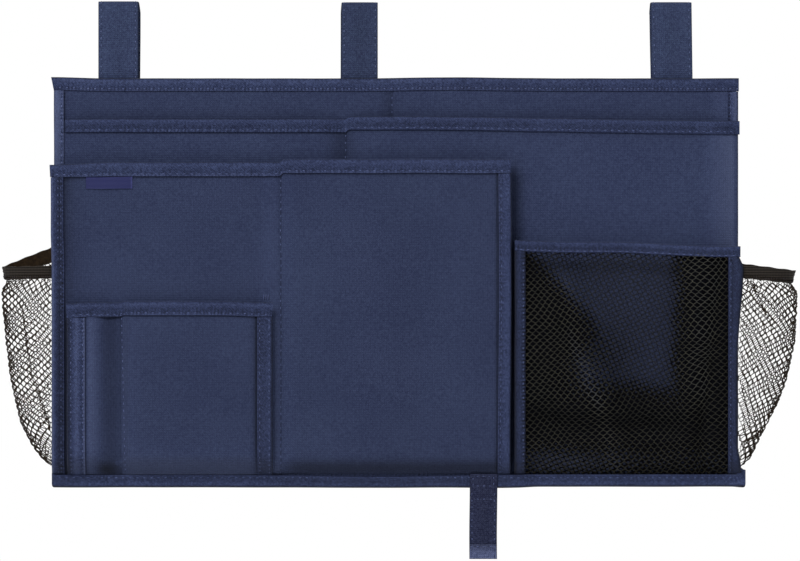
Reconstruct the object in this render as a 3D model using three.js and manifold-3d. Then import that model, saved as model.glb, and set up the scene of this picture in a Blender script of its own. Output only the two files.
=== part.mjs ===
// A fabric bedside caddy that hangs from a bed rail by three loops of strap.
// Millimetres, +Z up, +X to the viewer's right, and the pockets face -Y.
// The origin is on the axis of the rail in the loops, at mid width of the panel.
import * as THREE from "three";
import { mergeVertices } from "three/addons/utils/BufferGeometryUtils.js";
import Module from "manifold-3d";

const { lerp, clamp, smoothstep, degToRad } = THREE.MathUtils;
const manifold = await Module();
manifold.setup();

// Cloth, tape and board
const CLOTH = 0.8; // coated polyester cloth with its backing
const TAPE = 0.8; // one leg of the folded binding tape
const WEBBING = 1.4; // strap of folded cloth, topstitched
const BOARD = 2;
const NET = 0.8;
const ELASTIC = 1.6;
const HOOK_AND_LOOP = 1.2;
const SEAM = 0.3; // clearance between two sewn layers
const PINCH = SEAM + TAPE + SEAM; // room for a tape's rear leg behind a pocket

// Main panel
const PANEL_WIDTH = 596;
const PANEL_HEIGHT = 356;
const CORNER_RADIUS = 6;
const BOARD_MARGIN = 3;
const FOLD_X = -3.5; // the line at which the two boards meet
const FOLD_GAP = 5;
const TOP_LEG = 11.5; // height of the tape that shows on the top edge
const SIDE_LEG = 9;
const BOTTOM_LEG = 9.8;
const TOP_TAPE_LEFT_OVERHANG = 2.2;
const TOP_TAPE_RIGHT_OVERHANG = 0.5;
const BOTTOM_TAPE_LEFT_OVERHANG = 1.5;
const BOTTOM_TAPE_RIGHT_OVERHANG = 6;

// How the pockets turn in above the bottom seam, and how their gussets end there
const TURN_IN = 16;
const TAPE_FOOT = 1;
const GUSSET_FOOT = 3;

// Wide pocket behind the others: one cloth, stitched to the panel at a divider
const WIDE = {
  mouthLeft: 35.5, // drop of the mouth below the panel's top edge
  mouthRight: 33.3,
  mouthRightEnd: 37,
  mouthDepth: 7,
  baseDepth: 5,
  leg: 11.8,
  divider: -44,
  dividerWidth: 12,
  leftEase: 28,
  rightEase: 20,
  rightShare: 0.2, // share of the depth that is left at the right edge
  rightOverhang: 0.5,
  tapeOverhang: 1,
};

// Front pocket: gusseted at both sides, with one partition
const FRONT = {
  leftOverhang: 2.8,
  width: 401.1,
  mouthLeft: 73.5,
  mouthRight: 70.4,
  mouthDepth: 16,
  baseDepth: 10,
  leg: 12.4,
  sideLeg: 11.3,
  gussetInset: 6,
  leftGussetInset: 7.8,
  partition: -100.3,
  swell: 2.5,
};

// Small pocket on the front pocket, with a pen slot stitched off at its left
const SMALL = {
  left: 14.4, // from the front pocket's left edge
  width: 178.8,
  mouth: 194.9,
  mouthDepth: 9,
  baseDepth: 7,
  leg: 12.6,
  leftLeg: 14,
  rightLeg: 13.3,
  gussetInset: 7,
  penWidth: 47,
  valleyLeft: 14,
  valleyRight: 6,
};

// Net pocket to the right of the front pocket
const MESH = {
  gapToFront: 3.1,
  rightOverhang: 0.5,
  mouthLeft: 140.8,
  mouthRight: 146.5,
  mouthDepth: 20,
  baseDepth: 13,
  leg: 9.5,
  leftLeg: 10.4,
  rightLeg: 8.5,
  gussetInset: 5,
  tapeOverhang: 1.5,
  flare: 4, // the right tape is drawn out where the bottle net pulls on it
  flareDrop: 171,
  flareWidth: 14,
  pitch: 13,
  thread: 1.6,
  netMargin: 3,
};

// Bottle nets at the two sides. Each outline is [share of the height, share of the reach].
const BAG = {
  wall: 1,
  bottomDrop: 337.5,
  bandHeight: 11.4,
  bandStand: 0.3,
  rearFullness: 12,
  frontFullness: 22,
  tuckTurn: 0.85, // from here to the front seam the bag goes in behind a pocket's side tape
  roundness: 0.6, // below 1 the bag is boxier than a half ellipse
};
const LEFT_BAG = {
  reach: 46.4,
  frontTop: 163,
  tipTop: 164.5,
  rearTop: 148,
  outlineShares: [
    [0, 0.9],
    [0.05, 1],
    [0.18, 0.99],
    [0.32, 0.92],
    [0.49, 0.83],
    [0.64, 0.74],
    [0.84, 0.55],
    [0.92, 0.36],
    [1, 0.04],
  ],
};
const RIGHT_BAG = {
  reach: 52.7,
  frontTop: 162.5,
  tipTop: 167.6,
  rearTop: 161,
  outlineShares: [
    [0, 0.93],
    [0.05, 1],
    [0.16, 0.99],
    [0.3, 0.97],
    [0.42, 0.91],
    [0.54, 0.8],
    [0.65, 0.66],
    [0.76, 0.5],
    [0.86, 0.35],
    [0.95, 0.2],
    [1, 0.04],
  ],
};

// Hanging straps. The rail gap is the clear width inside a loop, front to back.
const RAIL_GAP = 24;
const LOOP_RISE = 66; // from the panel's top edge to the crest of a loop
const CREST_RADIUS = 4;
const STRAP_ROOT = 11; // how far a strap is sewn down behind the top tape
const TAIL_STRAIGHT = 13; // the tail hangs straight this far below the rail's axis
const TAIL_SLANT_END = 13; // drop at which the slanted tail reaches the panel's back
const TAIL_END = 70;
const PATCH_TOP = 16;
const PATCH_HEIGHT = 50;
const PATCH_WIDTH = 25;
const HINGE_GAP = 0.25;
const STRAP = {
  leftInset: 55.6, // from the panel's edge to the middle of the strap
  leftWidth: 34,
  middleX: -32,
  middleWidth: 31.5,
  rightInset: 57.8,
  rightWidth: 35.5,
};

// Bottom strap, sewn to the front of the bottom tape and hanging free below it
const BOTTOM_STRAP = {
  inset: 24.3, // from the front pocket's right edge to the middle of the strap
  width: 24,
  anchorRise: 1.2, // how far the sewn end stands above the bottom tape
  anchorBelow: 1,
  reach: 63, // below the panel
  hem: 13,
};

// Blank woven tab under the front pocket's top tape
const TAB = { inset: 30.8, width: 40.5, height: 10.9, thickness: 1 };

// Places that follow from the sizes above, in the panel's frame: y = 0 is its rear face,
// and a drop is a distance below its top edge.
const HALF = PANEL_WIDTH / 2;
const EDGE = TAPE + SEAM; // from the outside of a tape to the cloth inside it
const BOTTOM_LINE = PANEL_HEIGHT - BOTTOM_LEG;
const LAST_DROP = PANEL_HEIGHT - EDGE;
const BOARD_REAR = -CLOTH - SEAM;
const COVER_REAR = BOARD_REAR - BOARD - SEAM;
const COVER_FRONT = COVER_REAR - CLOTH;
const PANEL_REAR_Y = -(RAIL_GAP / 2 + WEBBING + PINCH);
const CREST_Z = RAIL_GAP / 2 + WEBBING;
const PANEL_TOP_Z = CREST_Z - LOOP_RISE;

const frontLeft = -HALF - FRONT.leftOverhang;
const frontRight = frontLeft + FRONT.width;
const smallLeft = frontLeft + SMALL.left;
const smallRight = smallLeft + SMALL.width;
const penStitch = smallLeft + SMALL.penWidth;
const meshLeft = frontRight + MESH.gapToFront;
const meshRight = HALF + MESH.rightOverhang;
const wideRight = HALF + WIDE.rightOverhang;
const wideLeft = -HALF + SIDE_LEG + SEAM;

const steps = (from, to, count) =>
  Array.from({ length: count + 1 }, (_, i) => lerp(from, to, i / count));

// The places from one to another by way of those of a row that lie between them
const by = (from, to, row) => [from, ...row.filter((at) => at > from && at < to), to];

// Where each mouth lies: the drop of its tape's top edge
const wideMouth = (x) => {
  const right = lerp(WIDE.mouthRight, WIDE.mouthRightEnd, smoothstep(x, 0, HALF));
  return lerp(WIDE.mouthLeft, right, smoothstep(x, WIDE.divider, WIDE.divider + SIDE_LEG));
};
const frontMouth = (x) => lerp(FRONT.mouthLeft, FRONT.mouthRight, (x - frontLeft) / FRONT.width);
const smallMouth = () => SMALL.mouth;
const meshMouth = (x) =>
  lerp(MESH.mouthLeft, MESH.mouthRight, (x - meshLeft) / (meshRight - meshLeft));

// Every cloth that turns in above the bottom seam does so in the same straight steps
const TURN_STEPS = 4;
const turnDrops = steps(BOTTOM_LINE - TURN_IN, BOTTOM_LINE, TURN_STEPS);
const turnShare = (step) => Math.cos((Math.PI / 2) * (step / TURN_STEPS));

function turnedIn(drop) {
  const place = clamp((drop - turnDrops[0]) / TURN_IN, 0, 1) * TURN_STEPS;
  const step = Math.min(Math.floor(place), TURN_STEPS - 1);
  return lerp(turnShare(step), turnShare(step + 1), place - step);
}

// How far a pocket stands off what is behind it: less towards the base, and turned in at the foot
function standOff(pocket, mouth, drop) {
  const down = clamp((drop - mouth) / (BOTTOM_LINE - mouth), 0, 1);
  return lerp(pocket.mouthDepth, pocket.baseDepth, down) * turnedIn(drop);
}

const valley = (x, centre, width) => Math.exp(-(((x - centre) / width) ** 2));

// Rear face of each cloth at a place across and down the panel
const wideDepth = (drop) => standOff(WIDE, WIDE.mouthLeft, drop);
function wideRear(x, drop) {
  const fromLeft = smoothstep(x, wideLeft, wideLeft + WIDE.leftEase);
  const atDivider = 1 - valley(x, WIDE.divider, WIDE.dividerWidth);
  const toRight = smoothstep(x, wideRight - WIDE.rightEase, wideRight);
  const fullness = fromLeft * atDivider * lerp(1, WIDE.rightShare, toRight);
  return COVER_FRONT - PINCH - wideDepth(drop) * fullness;
}
const wideFront = (x, drop) => wideRear(x, drop) - CLOTH;
const wideFullFront = (drop) => COVER_FRONT - PINCH - wideDepth(drop) - CLOTH;

function frontRear(x, drop) {
  const start = x < FRONT.partition ? frontLeft : FRONT.partition;
  const end = x < FRONT.partition ? FRONT.partition : frontRight;
  const depth = standOff(FRONT, FRONT.mouthLeft, drop);
  const swell = FRONT.swell * Math.sin((Math.PI * (x - start)) / (end - start));
  return wideFullFront(drop) - PINCH - depth - (swell * depth) / FRONT.mouthDepth;
}
const frontFront = (x, drop) => frontRear(x, drop) - CLOTH;

function smallRear(x, drop) {
  const width = x < penStitch ? SMALL.valleyLeft : SMALL.valleyRight;
  const fullness = 1 - valley(x, penStitch, width);
  return frontFront(x, drop) - PINCH - standOff(SMALL, SMALL.mouth, drop) * fullness;
}
const meshRear = (x, drop) =>
  wideFullFront(drop) - PINCH - standOff(MESH, MESH.mouthLeft, drop);

// A closed solid through a row of like rings of points, capped at both ends
function loft(rings) {
  const corners = [];
  const face = (a, b, c) => corners.push(...a, ...b, ...c);
  const count = rings[0].length;
  for (let i = 1; i < rings.length; i++) {
    for (let j = 0; j < count; j++) {
      const k = (j + 1) % count;
      face(rings[i - 1][j], rings[i][j], rings[i][k]);
      face(rings[i - 1][j], rings[i][k], rings[i - 1][k]);
    }
  }
  capRing(rings[0], false, face);
  capRing(rings[rings.length - 1], true, face);
  return outwards(corners);
}

// End face of a ring that runs out along one side of a sheet and back along the other
function capRing(ring, forward, face) {
  const last = ring.length - 1;
  for (let i = 0; i < last - i - 1; i++) {
    const [a, b, c, d] = [ring[i], ring[last - i], ring[last - i - 1], ring[i + 1]];
    if (forward) {
      face(a, b, c);
      face(a, c, d);
    } else {
      face(a, c, b);
      face(a, d, c);
    }
  }
}

// Geometry from a list of corners, turned so that its faces point out
function outwards(corners) {
  const [a, b, c] = [new THREE.Vector3(), new THREE.Vector3(), new THREE.Vector3()];
  let volume = 0;
  for (let i = 0; i < corners.length; i += 9) {
    a.fromArray(corners, i);
    b.fromArray(corners, i + 3);
    c.fromArray(corners, i + 6);
    volume += a.dot(b.cross(c));
  }
  if (volume < 0) {
    for (let i = 0; i < corners.length; i += 9) {
      const second = corners.slice(i + 3, i + 6);
      corners.splice(i + 3, 6, ...corners.slice(i + 6, i + 9), ...second);
    }
  }
  const geometry = new THREE.BufferGeometry();
  geometry.setAttribute("position", new THREE.Float32BufferAttribute(corners, 3));
  geometry.computeVertexNormals();
  return geometry;
}

// Drops from a mouth to the last one, by way of the steps in which the cloth turns in
const dropsTo = (mouth, last) => by(mouth, last, turnDrops);

// Cloth that spans across (xs) and hangs from a mouth, with a rear face and a thickness
function hangingCloth(xs, mouthAt, rearAt, thickness) {
  return loft(
    xs.map((x) => {
      const drops = dropsTo(mouthAt(x) + EDGE, LAST_DROP);
      const rear = drops.map((drop) => [x, rearAt(x, drop), -drop]);
      const front = drops.map((drop) => [x, rearAt(x, drop) - thickness, -drop]);
      return [...rear, ...front.reverse()];
    }),
  );
}

// Tape folded over an edge that runs across: its legs follow the two faces of what it binds
function acrossTape(xs, topAt, leg, rearAt, frontAt, upside = 1) {
  return loft(
    xs.map((x) => {
      const top = topAt(x);
      const web = top + TAPE * upside;
      const hem = top + leg * upside;
      return [
        [x, rearAt(x, hem) + EDGE, -hem],
        [x, rearAt(x, top) + EDGE, -top],
        [x, frontAt(x, top) - EDGE, -top],
        [x, frontAt(x, hem) - EDGE, -hem],
        [x, frontAt(x, hem) - SEAM, -hem],
        [x, frontAt(x, web) - SEAM, -web],
        [x, rearAt(x, web) + SEAM, -web],
        [x, rearAt(x, hem) + SEAM, -hem],
      ];
    }),
  );
}

// Tape folded over an edge that runs down. Its web is at outerAt(drop), and inward is +1 or -1.
function downTape(drops, outerAt, leg, inward, rearAt, frontAt) {
  return loft(
    drops.map((drop) => {
      const outer = outerAt(drop);
      const web = outer + TAPE * inward;
      const inner = outer + leg * inward;
      return [
        [inner, rearAt(inner, drop) + EDGE, -drop],
        [outer, rearAt(outer, drop) + EDGE, -drop],
        [outer, frontAt(outer, drop) - EDGE, -drop],
        [inner, frontAt(inner, drop) - EDGE, -drop],
        [inner, frontAt(inner, drop) - SEAM, -drop],
        [web, frontAt(web, drop) - SEAM, -drop],
        [web, rearAt(web, drop) + SEAM, -drop],
        [inner, rearAt(inner, drop) + SEAM, -drop],
      ];
    }),
  );
}

// Upright cloth wall between what is behind a pocket and the pocket's front
function gusset(x, mouth, behindAt, pocketRearAt, frontGap) {
  const drops = dropsTo(mouth, BOTTOM_LINE - GUSSET_FOOT);
  return loft(
    [x - CLOTH / 2, x + CLOTH / 2].map((at) => {
      const rear = drops.map((drop) => [at, behindAt(at, drop) - SEAM, -drop]);
      const front = drops.map((drop) => [at, pocketRearAt(at, drop) + frontGap, -drop]);
      return [...rear, ...front.reverse()];
    }),
  );
}

// Flat plate with rounded corners, between two places across and two drops
function plate(left, right, top, bottom, rear, thickness, radius) {
  const shape = new THREE.Shape();
  shape.moveTo(left + radius, -bottom);
  shape.absarc(right - radius, radius - bottom, radius, -Math.PI / 2, 0);
  shape.absarc(right - radius, -top - radius, radius, 0, Math.PI / 2);
  shape.absarc(left + radius, -top - radius, radius, Math.PI / 2, Math.PI);
  shape.absarc(left + radius, radius - bottom, radius, Math.PI, Math.PI * 1.5);
  const options = { depth: thickness, bevelEnabled: false, curveSegments: 4 };
  const geometry = new THREE.ExtrudeGeometry(shape, options);
  geometry.rotateX(Math.PI / 2);
  return geometry.translate(0, rear, 0);
}

// Outline in (y, z) extruded across, from x - width / 2 to x + width / 2
function acrossFrom(outline, x, width) {
  const shape = new THREE.Shape(outline.map(([y, z]) => new THREE.Vector2(y, z)));
  const geometry = new THREE.ExtrudeGeometry(shape, { depth: width, bevelEnabled: false });
  geometry.rotateX(Math.PI / 2);
  geometry.rotateZ(Math.PI / 2);
  return geometry.translate(x - width / 2, 0, 0);
}

const arc = (y, z, radius, from, to, count = 5) =>
  steps(degToRad(from), degToRad(to), count).map((turn) => [
    y + radius * Math.cos(turn),
    z + radius * Math.sin(turn),
  ]);

// Outline of a strap of one thickness along a path in (y, z), mitred at its bends
function ribbon(path, thickness) {
  const sides = [[], []];
  path.forEach(([y, z], i) => {
    const before = path[Math.max(0, i - 1)];
    const after = path[Math.min(path.length - 1, i + 1)];
    const into = new THREE.Vector2(y - before[0], z - before[1]).normalize();
    const out = new THREE.Vector2(after[0] - y, after[1] - z).normalize();
    const along = into.clone().add(out).normalize();
    const straight = Math.max(into.dot(along), out.dot(along));
    const reach = thickness / 2 / straight;
    sides[0].push([y - along.y * reach, z + along.x * reach]);
    sides[1].push([y + along.y * reach, z - along.x * reach]);
  });
  return [...sides[0], ...sides[1].reverse()];
}

const colours = {
  cloth: 0x343b56,
  tape: 0x353c58,
  webbing: 0x363d58,
  board: 0x8a8d90,
  net: 0x17181c,
  elastic: 0x2a2621,
  tab: 0x33366e,
  hookAndLoop: 0x23263a,
};

function piece(name, geometry, colour, roughness = 0.9) {
  const material = new THREE.MeshStandardMaterial({ color: colour, roughness, metalness: 0 });
  const mesh = new THREE.Mesh(geometry, material);
  mesh.name = name;
  return mesh;
}

const caddy = new THREE.Group();
const panel = new THREE.Group();
panel.position.set(0, PANEL_REAR_Y, PANEL_TOP_Z);
caddy.add(panel);

// Covers and the two stiffener boards between them
function addPanel() {
  const reach = HALF - EDGE;
  const cover = (rear) =>
    plate(-reach, reach, EDGE, LAST_DROP, rear, CLOTH, CORNER_RADIUS);
  const board = (left, right) =>
    plate(
      left,
      right,
      EDGE + BOARD_MARGIN,
      LAST_DROP - BOARD_MARGIN,
      BOARD_REAR,
      BOARD,
      CORNER_RADIUS,
    );
  panel.add(piece("back_cover", cover(0), colours.cloth));
  panel.add(piece("front_cover", cover(COVER_REAR), colours.cloth));
  const boardReach = reach - BOARD_MARGIN;
  const leftBoard = board(-boardReach, FOLD_X - FOLD_GAP / 2);
  const rightBoard = board(FOLD_X + FOLD_GAP / 2, boardReach);
  panel.add(piece("stiffener_board_left", leftBoard, colours.board, 0.5));
  panel.add(piece("stiffener_board_right", rightBoard, colours.board, 0.5));
}

// Tape round the panel's four edges. The bottom tape takes in every layer.
function addPanelTapes() {
  const panelRear = () => 0;
  const coverFront = () => COVER_FRONT;
  const wideEdge = () => COVER_FRONT - PINCH - CLOTH;
  const stackFront = () => COVER_FRONT - (PINCH + CLOTH) * 3;
  const top = acrossTape(
    [-HALF - TOP_TAPE_LEFT_OVERHANG, HALF + TOP_TAPE_RIGHT_OVERHANG],
    () => 0,
    TOP_LEG,
    panelRear,
    coverFront,
  );
  const bottom = acrossTape(
    [-HALF - BOTTOM_TAPE_LEFT_OVERHANG, HALF + BOTTOM_TAPE_RIGHT_OVERHANG],
    () => PANEL_HEIGHT,
    BOTTOM_LEG,
    panelRear,
    stackFront,
    -1,
  );
  const drops = [TOP_LEG + SEAM, BOTTOM_LINE - SEAM];
  const left = downTape(drops, () => -HALF, SIDE_LEG, 1, panelRear, wideEdge);
  const right = downTape(drops, () => HALF, SIDE_LEG, -1, panelRear, coverFront);
  panel.add(piece("top_binding", top, colours.tape));
  panel.add(piece("bottom_binding", bottom, colours.tape));
  panel.add(piece("left_binding", left, colours.tape));
  panel.add(piece("right_binding", right, colours.tape));
}

function addWidePocket() {
  const reachLeft = -HALF + EDGE;
  const reachRight = wideRight - EDGE;
  const nearDivider = steps(-2, 2, 8).map((share) => WIDE.divider + share * WIDE.dividerWidth);
  const row = [
    ...steps(wideLeft, wideLeft + WIDE.leftEase, 5),
    ...nearDivider,
    ...steps(nearDivider.at(-1), wideRight - WIDE.rightEase, 4).slice(1),
    ...steps(wideRight - WIDE.rightEase, wideRight, 4).slice(1),
  ];
  const across = (from, to) => by(from, to, row);
  const cloth = hangingCloth(across(reachLeft, reachRight), wideMouth, wideRear, CLOTH);
  const mouth = acrossTape(
    across(wideLeft, HALF + WIDE.tapeOverhang),
    wideMouth,
    WIDE.leg,
    wideRear,
    wideFront,
  );
  panel.add(piece("wide_pocket_panel", cloth, colours.cloth));
  panel.add(piece("wide_pocket_binding", mouth, colours.tape));
}

function addFrontPocket() {
  const row = [
    ...steps(frontLeft, FRONT.partition, 8),
    ...steps(FRONT.partition, frontRight, 8).slice(1),
  ];
  const across = (margin) => by(frontLeft + margin, frontRight - margin, row);
  const cloth = hangingCloth(across(EDGE), frontMouth, frontRear, CLOTH);
  const mouth = acrossTape(across(0), frontMouth, FRONT.leg, frontRear, frontFront);
  const sideDrops = (x) =>
    dropsTo(frontMouth(x) + FRONT.leg + SEAM, BOTTOM_LINE - TAPE_FOOT);
  const sideTape = (x, inward) =>
    downTape(sideDrops(x), () => x, FRONT.sideLeg, inward, frontRear, frontFront);
  const leftTapeFront = () => COVER_FRONT - PINCH - CLOTH - EDGE;
  const leftX = frontLeft + FRONT.leftGussetInset;
  const rightX = frontRight - FRONT.gussetInset;
  const leftGusset = gusset(leftX, frontMouth(leftX), leftTapeFront, frontRear, PINCH);
  const rightGusset = gusset(rightX, frontMouth(rightX), wideFront, frontRear, PINCH);
  const partitionTop = frontMouth(FRONT.partition) + FRONT.leg + SEAM;
  const partition = gusset(FRONT.partition, partitionTop, wideFront, frontRear, SEAM);
  panel.add(piece("front_pocket_panel", cloth, colours.cloth));
  panel.add(piece("front_pocket_top_binding", mouth, colours.tape));
  panel.add(piece("front_pocket_left_binding", sideTape(frontLeft, 1), colours.tape));
  panel.add(piece("front_pocket_right_binding", sideTape(frontRight, -1), colours.tape));
  panel.add(piece("front_pocket_gusset_left", leftGusset, colours.cloth));
  panel.add(piece("front_pocket_gusset_right", rightGusset, colours.cloth));
  panel.add(piece("front_pocket_partition", partition, colours.cloth));
}

function addSmallPocket() {
  const smallFront = (x, drop) => smallRear(x, drop) - CLOTH;
  const row = [
    ...steps(penStitch - 2 * SMALL.valleyLeft, penStitch, 6),
    ...steps(penStitch, penStitch + 2 * SMALL.valleyRight, 4).slice(1),
    ...steps(penStitch + 2 * SMALL.valleyRight, smallRight, 5).slice(1),
  ];
  const across = (margin) => by(smallLeft + margin, smallRight - margin, row);
  const cloth = hangingCloth(across(EDGE), smallMouth, smallRear, CLOTH);
  const mouth = acrossTape(across(0), smallMouth, SMALL.leg, smallRear, smallFront);
  const drops = dropsTo(SMALL.mouth + SMALL.leg + SEAM, BOTTOM_LINE - TAPE_FOOT);
  const side = (x, leg, inward) =>
    downTape(drops, () => x, leg, inward, smallRear, smallFront);
  const wall = (x) => gusset(x, SMALL.mouth, frontFront, smallRear, PINCH);
  panel.add(piece("small_pocket_panel", cloth, colours.cloth));
  panel.add(piece("small_pocket_top_binding", mouth, colours.tape));
  panel.add(piece("small_pocket_left_binding", side(smallLeft, SMALL.leftLeg, 1), colours.tape));
  panel.add(
    piece("small_pocket_right_binding", side(smallRight, SMALL.rightLeg, -1), colours.tape),
  );
  panel.add(
    piece("small_pocket_gusset_left", wall(smallLeft + SMALL.gussetInset), colours.cloth),
  );
  panel.add(
    piece("small_pocket_gusset_right", wall(smallRight - SMALL.gussetInset), colours.cloth),
  );
}

function solidOf(geometry) {
  const bare = new THREE.BufferGeometry();
  bare.setAttribute("position", geometry.getAttribute("position"));
  const merged = mergeVertices(bare);
  const vertProperties = merged.getAttribute("position").array;
  const triVerts = new Uint32Array(merged.index.array);
  return new manifold.Manifold(new manifold.Mesh({ numProp: 3, vertProperties, triVerts }));
}

function geometryOf(solid) {
  const { vertProperties, triVerts } = solid.getMesh();
  const corners = [];
  for (const vertex of triVerts) {
    corners.push(...vertProperties.subarray(vertex * 3, vertex * 3 + 3));
  }
  return outwards(corners);
}

// Net of the pocket: a hanging sheet pierced by six-sided holes in staggered columns
function netGeometry() {
  const [left, right] = [meshLeft + EDGE, meshRight - EDGE];
  const sheet = solidOf(hangingCloth([left, right], meshMouth, meshRear, NET));
  const radius = (MESH.pitch - MESH.thread) / Math.sqrt(3);
  const column = (MESH.pitch * Math.sqrt(3)) / 2;
  const first = left + MESH.leftLeg - MESH.netMargin + radius;
  const last = right - MESH.rightLeg + MESH.netMargin - radius;
  const columns = Math.floor((last - first) / column);
  const reach = -meshRear(right, meshMouth(right)) * 2;
  const prism = manifold.Manifold.cylinder(reach, radius, radius, 6).rotate([90, 0, 0]);
  const holes = [];
  for (let i = 0; i <= columns; i++) {
    const x = lerp(first, last, i / columns);
    const top = meshMouth(x) + MESH.leg + radius + (i % 2 ? MESH.pitch / 2 : 0);
    for (let drop = top; drop < BOTTOM_LINE - radius; drop += MESH.pitch) {
      holes.push(prism.translate([x, 0, -drop]));
    }
  }
  return geometryOf(sheet.subtract(manifold.Manifold.compose(holes)));
}

function addMeshPocket() {
  const netFront = (x, drop) => meshRear(x, drop) - NET;
  const mouth = acrossTape(
    steps(meshLeft, meshRight + MESH.tapeOverhang, 6),
    meshMouth,
    MESH.leg,
    meshRear,
    netFront,
  );
  const flareDrops = steps(-2, 2, 8).map((share) => MESH.flareDrop + share * MESH.flareWidth);
  const drops = (x) =>
    by(
      meshMouth(x) + MESH.leg + SEAM,
      BOTTOM_LINE - TAPE_FOOT,
      [...flareDrops, ...turnDrops],
    );
  const flared = (drop) =>
    meshRight + MESH.flare * valley(drop, MESH.flareDrop, MESH.flareWidth);
  const left = downTape(drops(meshLeft), () => meshLeft, MESH.leftLeg, 1, meshRear, netFront);
  const right = downTape(drops(meshRight), flared, MESH.rightLeg, -1, meshRear, netFront);
  const wall = (x) => gusset(x, meshMouth(x), wideFront, meshRear, PINCH);
  panel.add(piece("mesh_pocket_net", netGeometry(), colours.net));
  panel.add(piece("mesh_pocket_top_binding", mouth, colours.tape));
  panel.add(piece("mesh_pocket_left_binding", left, colours.tape));
  panel.add(piece("mesh_pocket_right_binding", right, colours.tape));
  panel.add(
    piece("mesh_pocket_gusset_left", wall(meshLeft + MESH.gussetInset), colours.cloth),
  );
  panel.add(
    piece("mesh_pocket_gusset_right", wall(meshRight - MESH.gussetInset), colours.cloth),
  );
}

// A bottle net's surface: turn runs from 0 at the rear seam to 1 at the front seam
function bagShape(bag, side, rearX, frontX, frontYAt) {
  const bandBottom = bag.tipTop + BAG.bandHeight;
  const reachAt = (drop) => {
    const share = clamp((drop - bandBottom) / (BAG.bottomDrop - bandBottom), 0, 1);
    const table = bag.outlineShares;
    const next = Math.max(1, table.findIndex(([height]) => height >= share));
    const [[h0, r0], [h1, r1]] = [table[next - 1], table[next]];
    return bag.reach * lerp(r0, r1, (share - h0) / (h1 - h0));
  };
  const topAt = (turn) =>
    turn < 0.5
      ? lerp(bag.rearTop, bag.tipTop, Math.sin(Math.PI * turn))
      : lerp(bag.frontTop, bag.tipTop, Math.sin(Math.PI * turn));
  const pointAt = (turn, drop, inset) => {
    const rear = -BAG.wall / 2;
    const front = frontYAt(drop);
    const out = Math.sin(Math.PI * turn);
    const fore = Math.cos(Math.PI * turn);
    const shrink = clamp((BAG.bottomDrop - drop) / TURN_IN / 2, 0.1, 1);
    const fullness = (fore > 0 ? BAG.rearFullness : BAG.frontFullness) * shrink;
    const half = (rear - front) / 2 + fullness * out ** 2 - inset;
    const base = lerp(rearX, frontX, smoothstep(turn, BAG.tuckTurn, 1)) + side * SEAM;
    const reach = (reachAt(drop) - inset) * out ** BAG.roundness;
    return [base + side * reach, (rear + front) / 2 + half * fore, -drop];
  };
  return { topAt, pointAt };
}

function bagNet({ topAt, pointAt }) {
  return loft(
    steps(0, 1, 14).map((turn) => {
      const top = topAt(turn) + BAG.bandHeight + SEAM;
      const drops = steps(top, BAG.bottomDrop, 9);
      const outer = drops.map((drop) => pointAt(turn, drop, 0));
      const inner = drops.map((drop) => pointAt(turn, drop, BAG.wall));
      return [...outer, ...inner.reverse()];
    }),
  );
}

function bagBand({ topAt, pointAt }) {
  return loft(
    steps(0, 1, 16).map((turn) => {
      const top = topAt(turn);
      const bottom = top + BAG.bandHeight;
      return [
        pointAt(turn, top, -BAG.bandStand),
        pointAt(turn, bottom, -BAG.bandStand),
        pointAt(turn, bottom, ELASTIC - BAG.bandStand),
        pointAt(turn, top, ELASTIC - BAG.bandStand),
      ];
    }),
  );
}

function addBottleNets() {
  const clear = EDGE + SEAM + BAG.bandStand;
  const leftGussetX = frontLeft + FRONT.leftGussetInset - CLOTH / 2;
  const rightGussetX = meshRight - MESH.gussetInset + CLOTH / 2;
  const leftFront = (drop) => frontRear(frontLeft, drop) + clear;
  const rightFront = (drop) => meshRear(meshRight, drop) + clear;
  const left = bagShape(LEFT_BAG, -1, -HALF, leftGussetX, leftFront);
  const right = bagShape(RIGHT_BAG, 1, HALF, rightGussetX, rightFront);
  panel.add(piece("left_bottle_net", bagNet(left), colours.net));
  panel.add(piece("left_bottle_elastic", bagBand(left), colours.elastic));
  panel.add(piece("right_bottle_net", bagNet(right), colours.net));
  panel.add(piece("right_bottle_elastic", bagBand(right), colours.elastic));
}

function addTab() {
  const left = frontLeft + TAB.inset;
  const top = frontMouth(left) + FRONT.leg + SEAM;
  const ring = (x) =>
    [top, top + TAB.height].flatMap((drop, i) => {
      const rear = [x, frontFront(x, drop) - SEAM, -drop];
      const front = [x, frontFront(x, drop) - SEAM - TAB.thickness, -drop];
      return i ? [front, rear] : [rear, front];
    });
  const geometry = loft(steps(left, left + TAB.width, 3).map(ring));
  panel.add(piece("label_tab", geometry, colours.tab, 0.7));
}

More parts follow.
